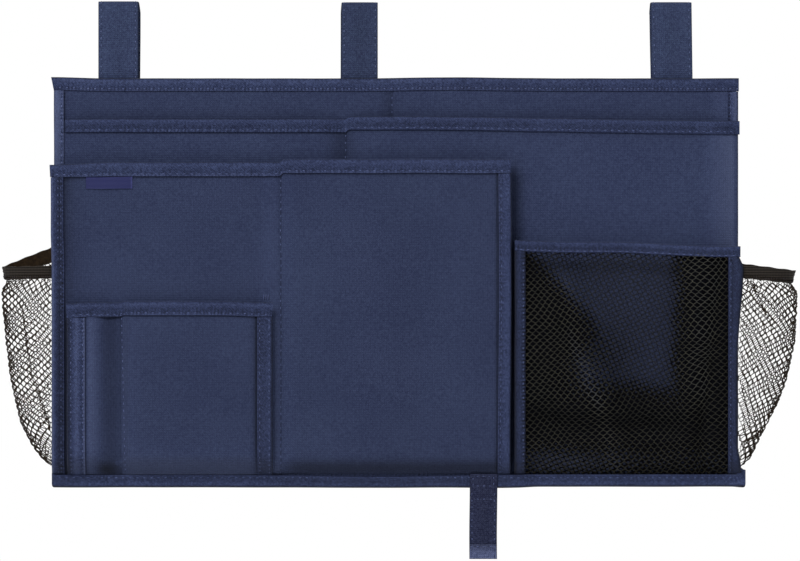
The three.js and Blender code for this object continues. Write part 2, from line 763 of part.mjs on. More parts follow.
// One hanging strap: a front run that folds over the rail, and a tail that comes down behind.
// The tail turns about a line across the strap, at the end of the crest.
function addStrap(name, x, width) {
  const runY = CREST_Z - WEBBING / 2;
  const bend = CREST_RADIUS - WEBBING / 2;
  const bendZ = CREST_Z - CREST_RADIUS;
  const crestY = CREST_Z - CREST_RADIUS;
  const path = [
    [-runY, PANEL_TOP_Z - STRAP_ROOT],
    ...arc(-crestY, bendZ, bend, 180, 90),
    ...arc(crestY, bendZ, bend, 90, 0),
  ];
  caddy.add(piece(`strap_${name}`, acrossFrom(ribbon(path, WEBBING), x, width), colours.webbing));

  const hingeZ = bendZ - WEBBING / 2 - HINGE_GAP;
  const loopRear = PANEL_REAR_Y + SEAM + HOOK_AND_LOOP;
  const hookRear = loopRear + SEAM + HOOK_AND_LOOP;
  const lowerY = hookRear + SEAM + WEBBING / 2;
  const tailPath = [
    [runY, hingeZ],
    [runY, -TAIL_STRAIGHT],
    [lowerY, PANEL_TOP_Z - TAIL_SLANT_END],
    [lowerY, PANEL_TOP_Z - TAIL_END],
  ];
  const outline = ribbon(tailPath, WEBBING);
  const tail = [...outline, ...arc(runY, hingeZ, WEBBING / 2, 180, 0, 6).slice(1, -1)];
  caddy.add(piece(`strap_${name}_tail`, acrossFrom(tail, x, width), colours.webbing));

  const patch = (rear) =>
    plate(
      x - PATCH_WIDTH / 2,
      x + PATCH_WIDTH / 2,
      PATCH_TOP - PANEL_TOP_Z,
      PATCH_TOP + PATCH_HEIGHT - PANEL_TOP_Z,
      rear,
      HOOK_AND_LOOP,
      HOOK_AND_LOOP,
    );
  caddy.add(piece(`strap_${name}_loop_patch`, patch(loopRear), colours.hookAndLoop));
  caddy.add(piece(`strap_${name}_hook_patch`, patch(hookRear), colours.hookAndLoop));
}

function addBottomStrap() {
  const x = frontRight - BOTTOM_STRAP.inset;
  const stackFront = COVER_FRONT - (PINCH + CLOTH) * 3 - EDGE;
  const rear = stackFront - SEAM;
  const front = rear - WEBBING;
  const middle = (rear + front) / 2;
  const anchorTop = -(BOTTOM_LINE - BOTTOM_STRAP.anchorRise);
  const anchorBottom = -(PANEL_HEIGHT + BOTTOM_STRAP.anchorBelow);
  const anchor = [
    [rear, anchorTop],
    [front, anchorTop],
    [front, anchorBottom],
    [rear, anchorBottom],
  ];
  const hingeZ = anchorBottom - HINGE_GAP - WEBBING / 2;
  const end = -(PANEL_HEIGHT + BOTTOM_STRAP.reach);
  const hemTop = end + BOTTOM_STRAP.hem;
  const strap = [
    ...arc(middle, hingeZ, WEBBING / 2, 0, 180, 6),
    [front, hemTop],
    [front - WEBBING, hemTop],
    [front - WEBBING, end],
    [rear, end],
  ];
  const across = (outline) => acrossFrom(outline, x, BOTTOM_STRAP.width);
  panel.add(piece("bottom_strap_anchor", across(anchor), colours.webbing));
  panel.add(piece("bottom_strap", across(strap), colours.webbing));
}

addPanel();
addPanelTapes();
addWidePocket();
addFrontPocket();
addSmallPocket();
addMeshPocket();
addBottleNets();
addTab();
addStrap("left", -HALF + STRAP.leftInset, STRAP.leftWidth);
addStrap("middle", STRAP.middleX, STRAP.middleWidth);
addStrap("right", HALF - STRAP.rightInset, STRAP.rightWidth);
addBottomStrap();

export default caddy;
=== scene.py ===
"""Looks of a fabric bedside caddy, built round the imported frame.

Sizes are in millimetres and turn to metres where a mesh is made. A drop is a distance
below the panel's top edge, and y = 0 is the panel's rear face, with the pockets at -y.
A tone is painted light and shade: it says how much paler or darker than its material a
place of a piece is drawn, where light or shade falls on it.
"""

import math

import bpy
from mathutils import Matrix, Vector, noise


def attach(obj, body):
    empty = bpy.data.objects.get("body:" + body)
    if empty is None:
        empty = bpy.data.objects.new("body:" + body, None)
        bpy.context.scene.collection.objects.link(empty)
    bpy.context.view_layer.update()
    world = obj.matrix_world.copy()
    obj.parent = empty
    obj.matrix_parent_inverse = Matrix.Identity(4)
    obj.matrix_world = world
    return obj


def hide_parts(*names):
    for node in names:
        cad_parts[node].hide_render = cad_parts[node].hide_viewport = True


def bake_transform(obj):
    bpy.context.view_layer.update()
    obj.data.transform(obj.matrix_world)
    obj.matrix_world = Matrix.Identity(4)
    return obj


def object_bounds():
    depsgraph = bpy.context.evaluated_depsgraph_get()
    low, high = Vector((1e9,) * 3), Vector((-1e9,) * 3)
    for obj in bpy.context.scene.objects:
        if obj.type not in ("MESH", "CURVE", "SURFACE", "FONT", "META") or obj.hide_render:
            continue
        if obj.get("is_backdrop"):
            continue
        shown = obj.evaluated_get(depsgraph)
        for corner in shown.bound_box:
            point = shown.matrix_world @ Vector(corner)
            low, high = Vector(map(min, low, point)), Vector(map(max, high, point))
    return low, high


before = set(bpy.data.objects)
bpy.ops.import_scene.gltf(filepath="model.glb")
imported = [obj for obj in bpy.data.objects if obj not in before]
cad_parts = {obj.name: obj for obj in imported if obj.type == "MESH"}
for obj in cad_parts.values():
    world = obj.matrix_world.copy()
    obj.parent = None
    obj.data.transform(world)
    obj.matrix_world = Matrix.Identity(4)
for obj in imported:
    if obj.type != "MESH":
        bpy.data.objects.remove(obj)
CAD_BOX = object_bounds()

MM = 0.001
REAR_Y = -14.8  # the panel's rear face, from the rail's axis
TOP_Z = -52.6  # the panel's top edge, from the rail's axis

# Thicknesses, and the gaps in the seams
CLOTH = 0.8
TAPE = 0.8
SEAM = 0.3
EDGE = TAPE + SEAM
PINCH = SEAM + TAPE + SEAM
ELASTIC = 1.6
STRAP = 1.4
PATCH = 1.2

# Main panel
HALF = 298
HEIGHT = 356
FOLD_X = -3.5  # the stitched line where the panel folds
TOP_LEG = 11.5
SIDE_LEG = 9
BOTTOM_LEG = 9.8
LEFT_EDGE, RIGHT_EDGE = -HALF - 0.6, HALF + 0.7  # outer edges of the side tapes
BOTTOM_LEFT, BOTTOM_RIGHT = -HALF - 2.2, HALF + 6.9  # ends of the bottom tape
FOOT = HEIGHT - BOTTOM_LEG  # where the bottom tape begins
LAST = HEIGHT - EDGE  # where the cloth ends inside it
TAPE_END = FOOT + 1.5  # where the upright tapes end under it
ROW_END = FOOT - 2  # where the upright rows of stitches end
COVER_REAR = -3.4
COVER_FRONT = -4.2
POCKETS_FRONT = COVER_FRONT - (PINCH + CLOTH) * 3  # three pockets' cloth sewn down at the foot
TURN_IN = 16  # how far above its foot a pocket turns in
SLOW_TURN = 22  # and the small pocket, as it stands out most

# Pockets: mouths, depths, legs of their tapes and places across
WIDE = {"mouth": 35.5, "deep": 7, "base": 5, "leg": 11.8, "divider": -44, "valley": 12}
WIDE_LEFT = -HALF + SIDE_LEG + SEAM
WIDE_RIGHT = HALF + 0.5
FRONT = {"mouth": 73.5, "deep": 16, "base": 10, "leg": 12.4, "side": 11.3, "swell": 2.5}
FRONT_LEFT = -300.8
FRONT_RIGHT = 100.3
FRONT_INNER = (FRONT_LEFT + FRONT["side"], FRONT_RIGHT - FRONT["side"])
NARROW, NARROWING = 0.14, 50  # its mouth tape narrows by a share over its left end
PARTITION = -100.3
SMALL = {"mouth": 194.9, "deep": 9, "base": 7, "leg": 12.6, "left": 15.9, "right": 13.3}
SMALL_LEFT = -286.4
SMALL_RIGHT = -107.6
SMALL_INNER = (SMALL_LEFT + SMALL["left"], SMALL_RIGHT - SMALL["right"])
PEN = -239.4  # the stitched line right of the pen slot
MESH = {"mouth": 140.8, "deep": 20, "base": 13, "leg": 9.5, "left": 9.7, "right": 8.8}
MESH_LEFT = 103.4
MESH_RIGHT = 298.5
MESH_INNER = MESH_RIGHT - 9.2
LABEL_LEFT = FRONT_LEFT + 30.8
LABEL_RIGHT = LABEL_LEFT + 40.5

# Stitches
PITCH = 3.08
STITCH = 2.2
THREAD = 0.6
INSET = 2.3  # from a tape's free edge to its stitches
ON_TAPE = SEAM + TAPE * 0.72  # how far a tape's stitches stand off what it binds


def mix(a, b, share):
    return a + (b - a) * share


def clamp(value, low=0.0, high=1.0):
    return max(low, min(high, value))


def ease(value, low, high):
    """From 0 at low to 1 at high, soft at both ends."""
    share = clamp((value - low) / (high - low))
    return share * share * (3 - 2 * share)


def dip(x, centre, width):
    """A bell of height 1 round a centre."""
    return math.exp(-(((x - centre) / width) ** 2))


def spread(low, high, step):
    """Places from low to high, about step apart."""
    count = max(1, round((high - low) / step))
    return [mix(low, high, i / count) for i in range(count + 1)]


def ripple(x, drop, scale, seed):
    """Soft unevenness of hung cloth, between -1 and 1."""
    return noise.noise(Vector((x / scale, drop / scale, seed)))


def at(x, y, drop):
    """A point of the panel's own frame in the row's frame, still in millimetres."""
    return (x, REAR_Y + y, TOP_Z - drop)


# Faces of the pockets, the same shapes as the solids with the cloth's own softness


def turned(drop, over=TURN_IN):
    """How much of a pocket's depth is left as it turns in above its foot."""
    return math.cos(math.pi / 2 * clamp((drop - FOOT + over) / over))


def stand_off(pocket, drop, over=TURN_IN):
    down = clamp((drop - pocket["mouth"]) / (FOOT - pocket["mouth"]))
    return mix(pocket["deep"], pocket["base"], down) * turned(drop, over)


# Drops of the pockets' mouths, which step at stitched lines and sag between them


def wide_mouth(x):
    right = mix(33.3, 37, ease(x, 0, HALF))
    return mix(WIDE["mouth"], right, ease(x, WIDE["divider"], WIDE["divider"] + 3))


def front_mouth(x):
    left = mix(75.4, 73.4, ease(x, FRONT_LEFT, FRONT_LEFT + 60))
    return mix(left, 70.6, ease(x, PARTITION - 1, PARTITION + 2))


def small_mouth(x):
    left = mix(196.4, 195.4, ease(x, SMALL_LEFT, SMALL_LEFT + 20))
    return mix(left, 194.2, ease(x, PEN - 1, PEN + 2)) + mix(0, 1.2, ease(x, -160, SMALL_RIGHT))


def mesh_mouth(x):
    sag = 1.2 * math.sin(math.pi * 3 * (x - MESH_LEFT) / (MESH_RIGHT - MESH_LEFT))
    return mix(140.8, 146.5, (x - MESH_LEFT) / (MESH_RIGHT - MESH_LEFT)) + 0.5 * sag


# The cloth's rear and front faces


def wide_rear(x, drop):
    full = ease(x, WIDE_LEFT, WIDE_LEFT + 28) * (1 - dip(x, WIDE["divider"], WIDE["valley"]))
    full *= mix(1, 0.2, ease(x, WIDE_RIGHT - 20, WIDE_RIGHT))
    wave = 0.5 * ripple(x, drop, 60, 3) * turned(drop) * full
    return COVER_FRONT - PINCH - stand_off(WIDE, drop) * full + wave


def wide_front(x, drop):
    return wide_rear(x, drop) - CLOTH


def wide_full(drop):
    return COVER_FRONT - PINCH - stand_off(WIDE, drop) - CLOTH


def front_rear(x, drop):
    start, end = (FRONT_LEFT, PARTITION) if x < PARTITION else (PARTITION, FRONT_RIGHT)
    depth = stand_off(FRONT, drop)
    across = clamp((x - start) / (end - start))
    swell = FRONT["swell"] * math.sin(math.pi * across) ** 0.6 * depth / FRONT["deep"]
    wave = 0.9 * ripple(x, drop, 75, 11) + 0.35 * ripple(x, drop, 28, 12)
    seam = 0.7 * dip(x, PARTITION, 3) * turned(drop)
    return wide_full(drop) - PINCH - depth - swell + wave * turned(drop) * 0.7 + seam


def front_front(x, drop):
    return front_rear(x, drop) - CLOTH


def small_rear(x, drop):
    width = 14 if x < PEN else 6
    full = 1 - dip(x, PEN, width)
    wave = 0.7 * ripple(x, drop, 50, 21) * turned(drop) * full
    front = stand_off(FRONT, drop, SLOW_TURN)
    start, end = FRONT_LEFT, PARTITION
    swell = FRONT["swell"] * math.sin(math.pi * (x - start) / (end - start))
    behind = wide_full(drop) - PINCH - front - CLOTH - swell * front / FRONT["deep"]
    return behind - PINCH - stand_off(SMALL, drop, SLOW_TURN) * full + wave * 0.6


def small_front(x, drop):
    return small_rear(x, drop) - CLOTH


def mesh_rear(x, drop):
    return wide_full(drop) - PINCH - stand_off(MESH, drop)


# Making meshes


def piece(name, points, faces, material, body="caddy", tones=None):
    """A mesh object of points in millimetres, which rides on a body.

    The tone carries painted light and shade: paler where light falls, darker where shade falls.
    """
    mesh = bpy.data.meshes.new(name)
    mesh.from_pydata([(x * MM, y * MM, z * MM) for x, y, z in points], [], faces)
    shade = mesh.attributes.new("tone", "FLOAT", "POINT")
    shade.data.foreach_set("value", tones or [1.0] * len(points))
    mesh.validate()
    made = bpy.data.objects.new(name, mesh)
    bpy.context.collection.objects.link(made)
    mesh.materials.append(material)
    mesh.polygons.foreach_set("use_smooth", [True] * len(mesh.polygons))
    if body:
        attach(made, body)
    return made


def finish(made, slot, *nodes):
    """Hide the solids that a piece stands for; the slot, what it is made of, is not used."""
    if nodes:
        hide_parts(*nodes)
    return made


def skin(name, rings, material, body="caddy", sharp=40, tones=None, bands=(), lining=None):
    """A closed skin through like rings of points, with an end face on the first and last.

    The bands are places round a ring whose faces take the lining's material.
    """
    size = len(rings[0])
    points = [point for ring in rings for point in ring]
    faces = []
    for i in range(len(rings) - 1):
        low, high = i * size, (i + 1) * size
        for j in range(size):
            k = (j + 1) % size
            faces.append((low + j, high + j, high + k, low + k))
    last = (len(rings) - 1) * size
    for i in range(size // 2 - 1):
        a, b = i, size - 1 - i
        faces.append((a, a + 1, b - 1, b))
        faces.append((last + b, last + b - 1, last + a + 1, last + a))
    made = piece(name, points, faces, material, body, tones)
    made.data.set_sharp_from_angle(angle=math.radians(sharp))
    if lining:
        made.data.materials.append(lining)
        sides = size * (len(rings) - 1)
        for i in range(sides):
            if i % size in bands:
                made.data.polygons[i].material_index = 1
    return made


def sheet(name, xs, drops_at, rear_at, material, tone_at=None):
    """Cloth that hangs from a mouth, with a rear face and a thickness."""
    rings, tones = [], []
    for x in xs:
        drops = drops_at(x)
        front = [at(x, rear_at(x, drop) - CLOTH, drop) for drop in drops]
        rear = [at(x, rear_at(x, drop), drop) for drop in drops]
        rings.append(front + rear[::-1])
        if tone_at:
            shades = [tone_at(x, drop) for drop in drops]
            tones += shades + shades[::-1]
    return skin(name, rings, material, tones=tones)


def beside(edge, towards):
    """Close places beside a pressed edge, on its open side."""
    return [edge + towards * step for step in (0, 0.8, 1.8, 3.2, 5)]


def pressed(*distances, depth=0.7):
    """How far cloth is pressed back beside the edges of the tapes sewn on it."""
    return depth * dip(max(0, min(distances)), 0, 2.0)


def to_foot(mouth, last, step=6):
    """Drops from a mouth to the last one, closer together where the cloth turns in."""
    drops = [mouth]
    for end, gap in ((FOOT - TURN_IN - 2, step), (FOOT - 4, 1.6), (FOOT, 0.7)):
        drops += spread(drops[-1], min(end, last), gap)[1:]
    return drops + ([last] if last > FOOT else [])


def fold_outline(leg, puff, phase):
    """A leg of folded tape as (depth from the edge, offset from what it binds).

    The fold is puffy, the stitches pull the tape down, and its lip stands up again. Phase
    goes from -1 at a needle hole to 1 between two holes.
    """
    lip, pull = leg - 1.3, leg - INSET
    outer = [
        (leg, SEAM * 0.5),
        (leg - 0.05, SEAM + 0.55),
        (leg - 0.55, SEAM + 0.85 + 0.12 * phase),
        (lip, SEAM + 0.95 + 0.18 * phase),
        (pull, SEAM + 0.4 + 0.12 * phase),
        (pull - 1.0, SEAM + 0.75 + 0.15 * phase),
        (leg * 0.5, SEAM + 0.95 + puff * 0.3),
        (2.6, SEAM + 1.0 + puff * 0.9),
        (1.2, SEAM + 0.9 + puff),
    ]
    inner = [(TAPE, SEAM), (leg * 0.5, SEAM), (leg, SEAM * 0.5)]
    return outer, inner


# Tones of each tape from its free edge to its fold, painted light and shade: painted highlights
# on lips and folds, and painted shade on the sides that face away or lie pressed between layers
TAPE_TONES = {
    "top": (1.3, 1.4, 1.4, 1.02, 0.93, 1.08, 1.18, 1.45, 1.0),
    "left": (1.3, 1.6, 1.8, 1.6, 1.4, 1.85, 1.95, 2.05, 1.95),
    "right": (1.2, 1.4, 0.8, 0.6, 1.4, 1.45, 1.6, 1.9, 1.5),
    "bottom": (1.3, 1.5, 1.2, 0.95, 0.95, 0.9, 0.82, 1.2, 0.75),
    "wide_pocket": (1.2, 1.3, 1.1, 0.9, 1.1, 0.92, 0.86, 1.14, 1.2),
    "front_pocket_top": (1.2, 1.3, 1.5, 1.2, 1.02, 0.95, 1.0, 1.25, 1.1),
    "front_pocket_left": (1.1, 1.2, 1.2, 0.6, 0.5, 0.47, 0.6, 1.15, 1.9),
    "front_pocket_right": (1.2, 1.5, 1.4, 0.9, 0.9, 1.0, 1.14, 1.18, 1.1),
    "small_pocket_top": (1.2, 1.4, 1.5, 1.15, 0.92, 0.86, 0.9, 1.35, 0.9),
    "small_pocket_left": (1.1, 1.4, 1.9, 1.8, 1.0, 0.95, 1.6, 0.6, 0.45),
    "small_pocket_right": (1.2, 1.5, 1.3, 0.75, 0.67, 0.8, 0.82, 0.98, 0.75),
    "mesh_pocket_top": (1.0, 1.1, 1.2, 1.05, 0.8, 0.75, 0.8, 1.05, 1.15),
    "mesh_pocket_left": (0.25, 0.25, 0.3, 0.4, 0.6, 0.6, 0.8, 0.62, 0.31),
    "mesh_pocket_right": (0.9, 1.1, 1.1, 0.7, 0.5, 0.6, 0.75, 0.65, 0.46),
}

# How much painted light and shade the stitches add to those tones, dark where they pull the
# tape down and pale where it rises again
BEADS = (0.05, 0.1, 0.2, 0.3, 0.34, 0.16, 0.04, 0.03, 0.02)

FOLD_TURNS = (55, 28, 0, -28, -55)  # degrees round a tape's fold, from front to rear


def tape(place, stations, leg, rear_at, front_at, puff=0.8, roll=0.9, rim=0.8, pucker=1.0,
         shade_at=None):
    """Binding tape folded over an edge, with painted shade on its edges where they press into
    the cloth.

    A station is (x, drop of the edge, step in x, step in drop), and the steps lead inwards.
    Puff is how far the fold swells, roll how round it is, pucker how deep the stitches pull,
    and rim the painted light or shade of the fold. shade_at adds painted light and shade along
    it.
    """
    tones = TAPE_TONES[place]
    rings, shades, walked = [], [], 0.0
    full_puff = puff
    for index, (x, drop, dx, dd) in enumerate(stations):
        if index:
            walked += math.dist((x, drop), stations[index - 1][:2])
        phase = -pucker * math.cos(2 * math.pi * walked / PITCH)
        under = 0 if place == "bottom" else ease(drop, FOOT - 7, FOOT)
        puff = full_puff * (1 - under)
        outer, inner = fold_outline(leg, puff, phase)

        def point(depth, offset, front):
            px, pd = x + dx * depth, drop + dd * depth
            if front:
                return at(px, front_at(px, pd) - offset * mix(1, 0.4, under), pd)
            return at(px, rear_at(px, pd) + min(offset, EDGE), pd)

        ring = [point(depth, offset, True) for depth, offset in outer]
        mid = (front_at(x, drop) + rear_at(x, drop)) / 2
        half = (rear_at(x, drop) - front_at(x, drop)) / 2 + EDGE
        for turn in FOLD_TURNS:
            sine, cosine = math.sin(math.radians(turn)), math.cos(math.radians(turn))
            depth = roll * (1 - cosine)
            wide = half + (puff * 0.8 if turn > 0 else 0)
            ring.append(at(x + dx * depth, mid - wide * sine, drop + dd * depth))
        ring += [point(depth, offset, False) for depth, offset in outer[::-1]]
        ring += [point(depth, offset, False) for depth, offset in inner[::-1]]
        ring += [point(depth, offset, True) for depth, offset in inner]
        rings.append(ring)
        grain = 1 + 0.08 * ripple(x, drop, 7 / 3, 61)
        beads = phase * (1 + 1.5 * ripple(x, drop, 2.5, 3.3))
        if shade_at:
            beads, grain = beads * shade_at(x, drop), grain * shade_at(x, drop)
        face = [tone * grain + bead * beads for tone, bead in zip(tones, BEADS)]
        shades += face + [rim] * len(FOLD_TURNS) + face[::-1] + [1.0] * 2 * len(inner)
    last = 2 * len(tones) + len(FOLD_TURNS)
    bands = {0, 1, last - 3, last - 2}
    made = skin(f"{place}_tape", rings, MATERIALS["tape"], sharp=60, tones=shades, bands=bands,
                lining=MATERIALS["painted_edge_shade"])
    return finish(made, "binding_tape", f"{place}_binding")


def along_x(left, right, top, slant=(0, 0), wander=0.3, seed=0, short=0):
    """Stations of a tape that runs across. A slant leans an end's cut, and short is the
    share by which the tape is narrower at its left end.
    """
    stations = []
    for x in spread(left, right, PITCH / 2):
        lean = slant[0] * clamp(1 - (x - left) / 6) + slant[1] * clamp(1 - (right - x) / 6)
        drop = top(x) + wander * ripple(x, 0, 45, seed)
        stations.append((x, drop, lean, 1 - short * (1 - ease(x, left, left + NARROWING))))
    return stations


def along_drop(top, bottom, side, inward, wander=0.3, seed=0):
    """Stations of a tape that runs down a side."""
    return [
        (side(drop) + wander * ripple(0, drop, 45, seed), drop, inward, 0)
        for drop in spread(top, bottom, PITCH / 2)
    ]


class Stitches:
    """Rows of single stitches, gathered into one piece for each seam.

    Each has a tip, two rings of points and another tip.
    """

    SIDES = 5
    POINTS = 2 + 2 * SIDES

    def __init__(self):
        self.points = []
        self.faces = []
        self.tones = []

    def one(self, middle, along, out, length, thick):
        """One stitch. Every second one is drawn down in painted shade, the rest painted pale as
        lit.
        """
        side = along.cross(out).normalized()
        start = len(self.points)
        high = start // self.POINTS % 2
        middle = middle + out * (0.1 if high else -0.1)
        patchy = 1 + 0.5 * ripple(middle.x, middle.z, 1 / 0.21, 1.5)
        self.tones += [(1.5 if high else 0.4) * patchy] * self.POINTS
        tips = [middle - along * length / 2, middle + along * length / 2]
        self.points.append(tuple(tips[0] - out * thick * 0.4))
        for share in (-0.3, 0.3):
            centre = middle + along * length * share
            for turn in range(self.SIDES):
                angle = math.pi * 2 * turn / self.SIDES
                offset = out * math.cos(angle) + side * math.sin(angle)
                self.points.append(tuple(centre + offset * thick / 2))
        self.points.append(tuple(tips[1] - out * thick * 0.4))
        end = start + self.POINTS - 1
        for turn in range(self.SIDES):
            a, b = start + 1 + turn, start + 1 + (turn + 1) % self.SIDES
            self.faces.append((start, b, a))
            self.faces.append((a, b, b + self.SIDES, a + self.SIDES))
            self.faces.append((end, a + self.SIDES, b + self.SIDES))

    def row(self, points, out=(0, -1, 0), pitch=PITCH, length=STITCH, thick=THREAD):
        """Stitches along a line of points, each lying on the cloth and facing out."""
        points = [Vector(point) for point in points]
        out = Vector(out)
        walked, wanted = 0.0, pitch / 2
        for a, b in zip(points, points[1:]):
            step = (b - a).length
            while step and wanted <= walked + step:
                along = (b - a).normalized()
                wobble = 0.12 * ripple(wanted, len(self.points), 1, 0.5)
                middle = a + (b - a) * ((wanted - walked) / step)
                tilted = (along + along.cross(out) * wobble * 2).normalized()
                self.one(middle, tilted, out, length, thick)
                wanted += pitch
            walked += step

    def finish(self, name, body="caddy", tone=1.0):
        """Make the piece, with a tone of its own on top of each stitch's."""
        tones = [tone * own for own in self.tones]
        made = piece(name, self.points, self.faces, MATERIALS["thread"], body, tones)
        return finish(made, "binding_tape")


def across_row(xs, drop_at, front_at, lift):
    """A line of stitches across, lifted off the cloth."""
    return [at(x, front_at(x, drop_at(x)) - lift, drop_at(x)) for x in xs]


def down_row(x_at, drops, front_at, lift):
    """A line of stitches down, lifted off the cloth."""
    return [at(x_at(drop), front_at(x_at(drop), drop) - lift, drop) for drop in drops]


def knitted_net(name, width, height, pitch, thread, turn, point_at, material, thick=0.45,
                open_at=None, tone_at=None):
    """Knitted net of diamond holes with short knots, made flat and then shaped.

    The flat net is width by height, with holes a pitch apart and threads of a width, and
    the knitting lies at a turn in degrees. point_at shapes the net, with None where there is
    no net, and open_at gives how much of each hole is left open: a closed one is filled.
    """
    wide, knot = pitch * 0.72, pitch * 0.11
    tall = wide - knot
    half = math.hypot(width, height) / 2 + pitch
    columns, rows = math.ceil(half / (wide * 2)) + 1, math.ceil(half / wide)
    cosine, sine = math.cos(math.radians(turn)), math.sin(math.radians(turn))
    corners = [(0, tall), (-wide, knot), (-wide, -knot), (0, -tall), (wide, -knot),
               (wide, knot)]
    points, faces, tones, known = [], [], [], {}

    def flat(u, v):
        return width / 2 + u * cosine - v * sine, height / 2 + u * sine + v * cosine

    def add(u, v):
        key = (round(u * 20), round(v * 20))  # to 0.05 mm, so that holes share corners
        if key not in known:
            shaped = point_at(*flat(u, v))
            if shaped is None:
                known[key] = None
            else:
                known[key] = len(points)
                points.append(shaped)
                tones.append(tone_at(*flat(u, v)) if tone_at else 1.0)
        return known[key]

    for row in range(-rows, rows + 1):
        for column in range(-columns, columns + 1):
            u, v = (column * 2 + row % 2) * wide, row * wide
            a, b = flat(u, v)
            if not -pitch < a < width + pitch or not -pitch < b < height + pitch:
                continue
            hole = (1 - thread / pitch) * (open_at(a, b) if open_at else 1)
            rim = [add(u + cu, v + cv) for cu, cv in corners]
            if None in rim:
                continue
            if hole < 0.08:
                faces.append(tuple(rim))
                continue
            inner = [point_at(*flat(u + cu * hole, v + cv * hole)) for cu, cv in corners]
            if None in inner:
                continue
            first = len(points)
            points += inner
            tones += [tones[corner] for corner in rim]
            for i in range(6):
                j = (i + 1) % 6
                faces.append((rim[i], rim[j], first + j, first + i))
    made = piece(name, points, faces, material, tones=tones)
    thicken = made.modifiers.new("thread", "SOLIDIFY")
    thicken.thickness = thick * MM
    thicken.offset = 0
    return made


# Materials


def linear(hex_colour):
    """An sRGB hex colour as linear RGBA."""
    parts = [int(hex_colour[i : i + 2], 16) / 255 for i in (1, 3, 5)]
    light = [p / 12.92 if p <= 0.04045 else ((p + 0.055) / 1.055) ** 2.4 for p in parts]
    return (*light, 1)


def add_node(tree, kind, inputs=None, **settings):
    """Add a node with its settings, and set or link each of its inputs."""
    made = tree.nodes.new(kind)
    for key, value in settings.items():
        setattr(made, key, value)
    for key, value in (inputs or {}).items():
        if isinstance(value, bpy.types.NodeSocket):
            tree.links.new(value, made.inputs[key])
        else:
            made.inputs[key].default_value = value
    return made


SHINE = 0.12  # dull dyed yarn scatters most of what a smooth plastic would reflect
SHEEN_GREY = "#373c4c"  # the grey that painted highlights go towards, as a painted sheen


def start_material(name, roughness, sheen=0.0):
    """A material with its tree, its shader, and places in metres for its patterns."""
    material = bpy.data.materials.new(name)
    material.use_nodes = True
    tree = material.node_tree
    shader = tree.nodes["Principled BSDF"]
    shader.inputs["Roughness"].default_value = roughness
    shader.inputs["Sheen Weight"].default_value = sheen
    shader.inputs["Specular IOR Level"].default_value = SHINE
    place = add_node(tree, "ShaderNodeTexCoord").outputs["Object"]
    return material, tree, shader, place


def threads(tree, place, axis, period, distortion=0.4):
    """Bands of threads across an axis, period in millimetres from thread to thread."""
    return add_node(
        tree,
        "ShaderNodeTexWave",
        {"Vector": place, "Scale": math.pi / 10 / (period * MM), "Distortion": distortion,
         "Detail": 1.0, "Detail Scale": 3.0},
        wave_type="BANDS",
        bands_direction=axis,
    ).outputs["Fac"]


def math_node(tree, operation, a, b):
    """One step of arithmetic on a pattern."""
    return add_node(tree, "ShaderNodeMath", {0: a, 1: b}, operation=operation).outputs[0]


def blotches(tree, place, size, detail=3.0):
    """Noise of one size in millimetres."""
    return add_node(
        tree,
        "ShaderNodeTexNoise",
        {"Vector": place, "Scale": 1 / (size * MM), "Detail": detail, "Roughness": 0.6},
    ).outputs["Fac"]


def toned(tree, shader, factor, dark, light, low=0.35, high=0.65):
    """Give the shader a colour between two, times the tone that the piece carries.

    The tone is painted light and shade. Where it is high, the painted highlight also goes a
    little towards grey, as a painted sheen.
    """
    span = add_node(
        tree, "ShaderNodeMapRange", {"Value": factor, "From Min": low, "From Max": high}
    ).outputs["Result"]
    mixed = add_node(tree, "ShaderNodeMix", data_type="RGBA")
    tree.links.new(span, mixed.inputs[0])
    mixed.inputs[6].default_value = linear(dark)
    mixed.inputs[7].default_value = linear(light)
    # painted light and shade, which each piece carries as its tone
    painted_light = add_node(tree, "ShaderNodeAttribute", attribute_name="tone").outputs["Fac"]
    sheen_grey_share = add_node(
        tree, "ShaderNodeMapRange", {"Value": painted_light, "From Min": 1.1, "From Max": 2.2,
                                     "To Max": 0.55}
    ).outputs["Result"]
    sheen_greyed = add_node(tree, "ShaderNodeMix", data_type="RGBA")
    tree.links.new(sheen_grey_share, sheen_greyed.inputs[0])
    tree.links.new(mixed.outputs[2], sheen_greyed.inputs[6])
    sheen_greyed.inputs[7].default_value = linear(SHEEN_GREY)
    made = add_node(tree, "ShaderNodeMix", data_type="RGBA", blend_type="MULTIPLY")
    made.inputs[0].default_value = 1.0
    tree.links.new(sheen_greyed.outputs[2], made.inputs[6])
    tree.links.new(painted_light, made.inputs[7])
    tree.links.new(made.outputs[2], shader.inputs["Base Color"])


def raised(tree, shader, height, depth):
    """Relief of the weave, with its depth in millimetres."""
    bump = add_node(
        tree, "ShaderNodeBump", {"Height": height, "Distance": depth * MM, "Strength": 1.0}
    )
    tree.links.new(bump.outputs["Normal"], shader.inputs["Normal"])


def woven(name, dark, light, period, relief, slub=0.75):
    """Plain-woven polyester: warp and weft threads that cross, with uneven yarn.

    The real threads are under half a millimetre apart, too fine to show, so they are drawn
    at the period given. Slub is how much of the tone comes from single yarns, and the rest
    comes from soft clouds of 70 mm.
    """
    material, tree, shader, place = start_material(name, 0.85, 0.04)
    warp = threads(tree, place, "X", period)
    weft = threads(tree, place, "Z", period)
    crossing = math_node(tree, "MULTIPLY", warp, weft)
    yarn = blotches(tree, place, period * 0.9)
    cloud = blotches(tree, place, 70, 2.0)
    uneven = math_node(tree, "MULTIPLY", yarn, slub)
    tone = math_node(tree, "ADD", uneven, math_node(tree, "MULTIPLY", cloud, 1 - slub))
    tone = math_node(tree, "ADD", tone, math_node(tree, "MULTIPLY", crossing, 0.14))
    toned(tree, shader, tone, dark, light, 0.38, 0.72)
    raised(tree, shader, math_node(tree, "ADD", crossing, uneven), relief)
    return material


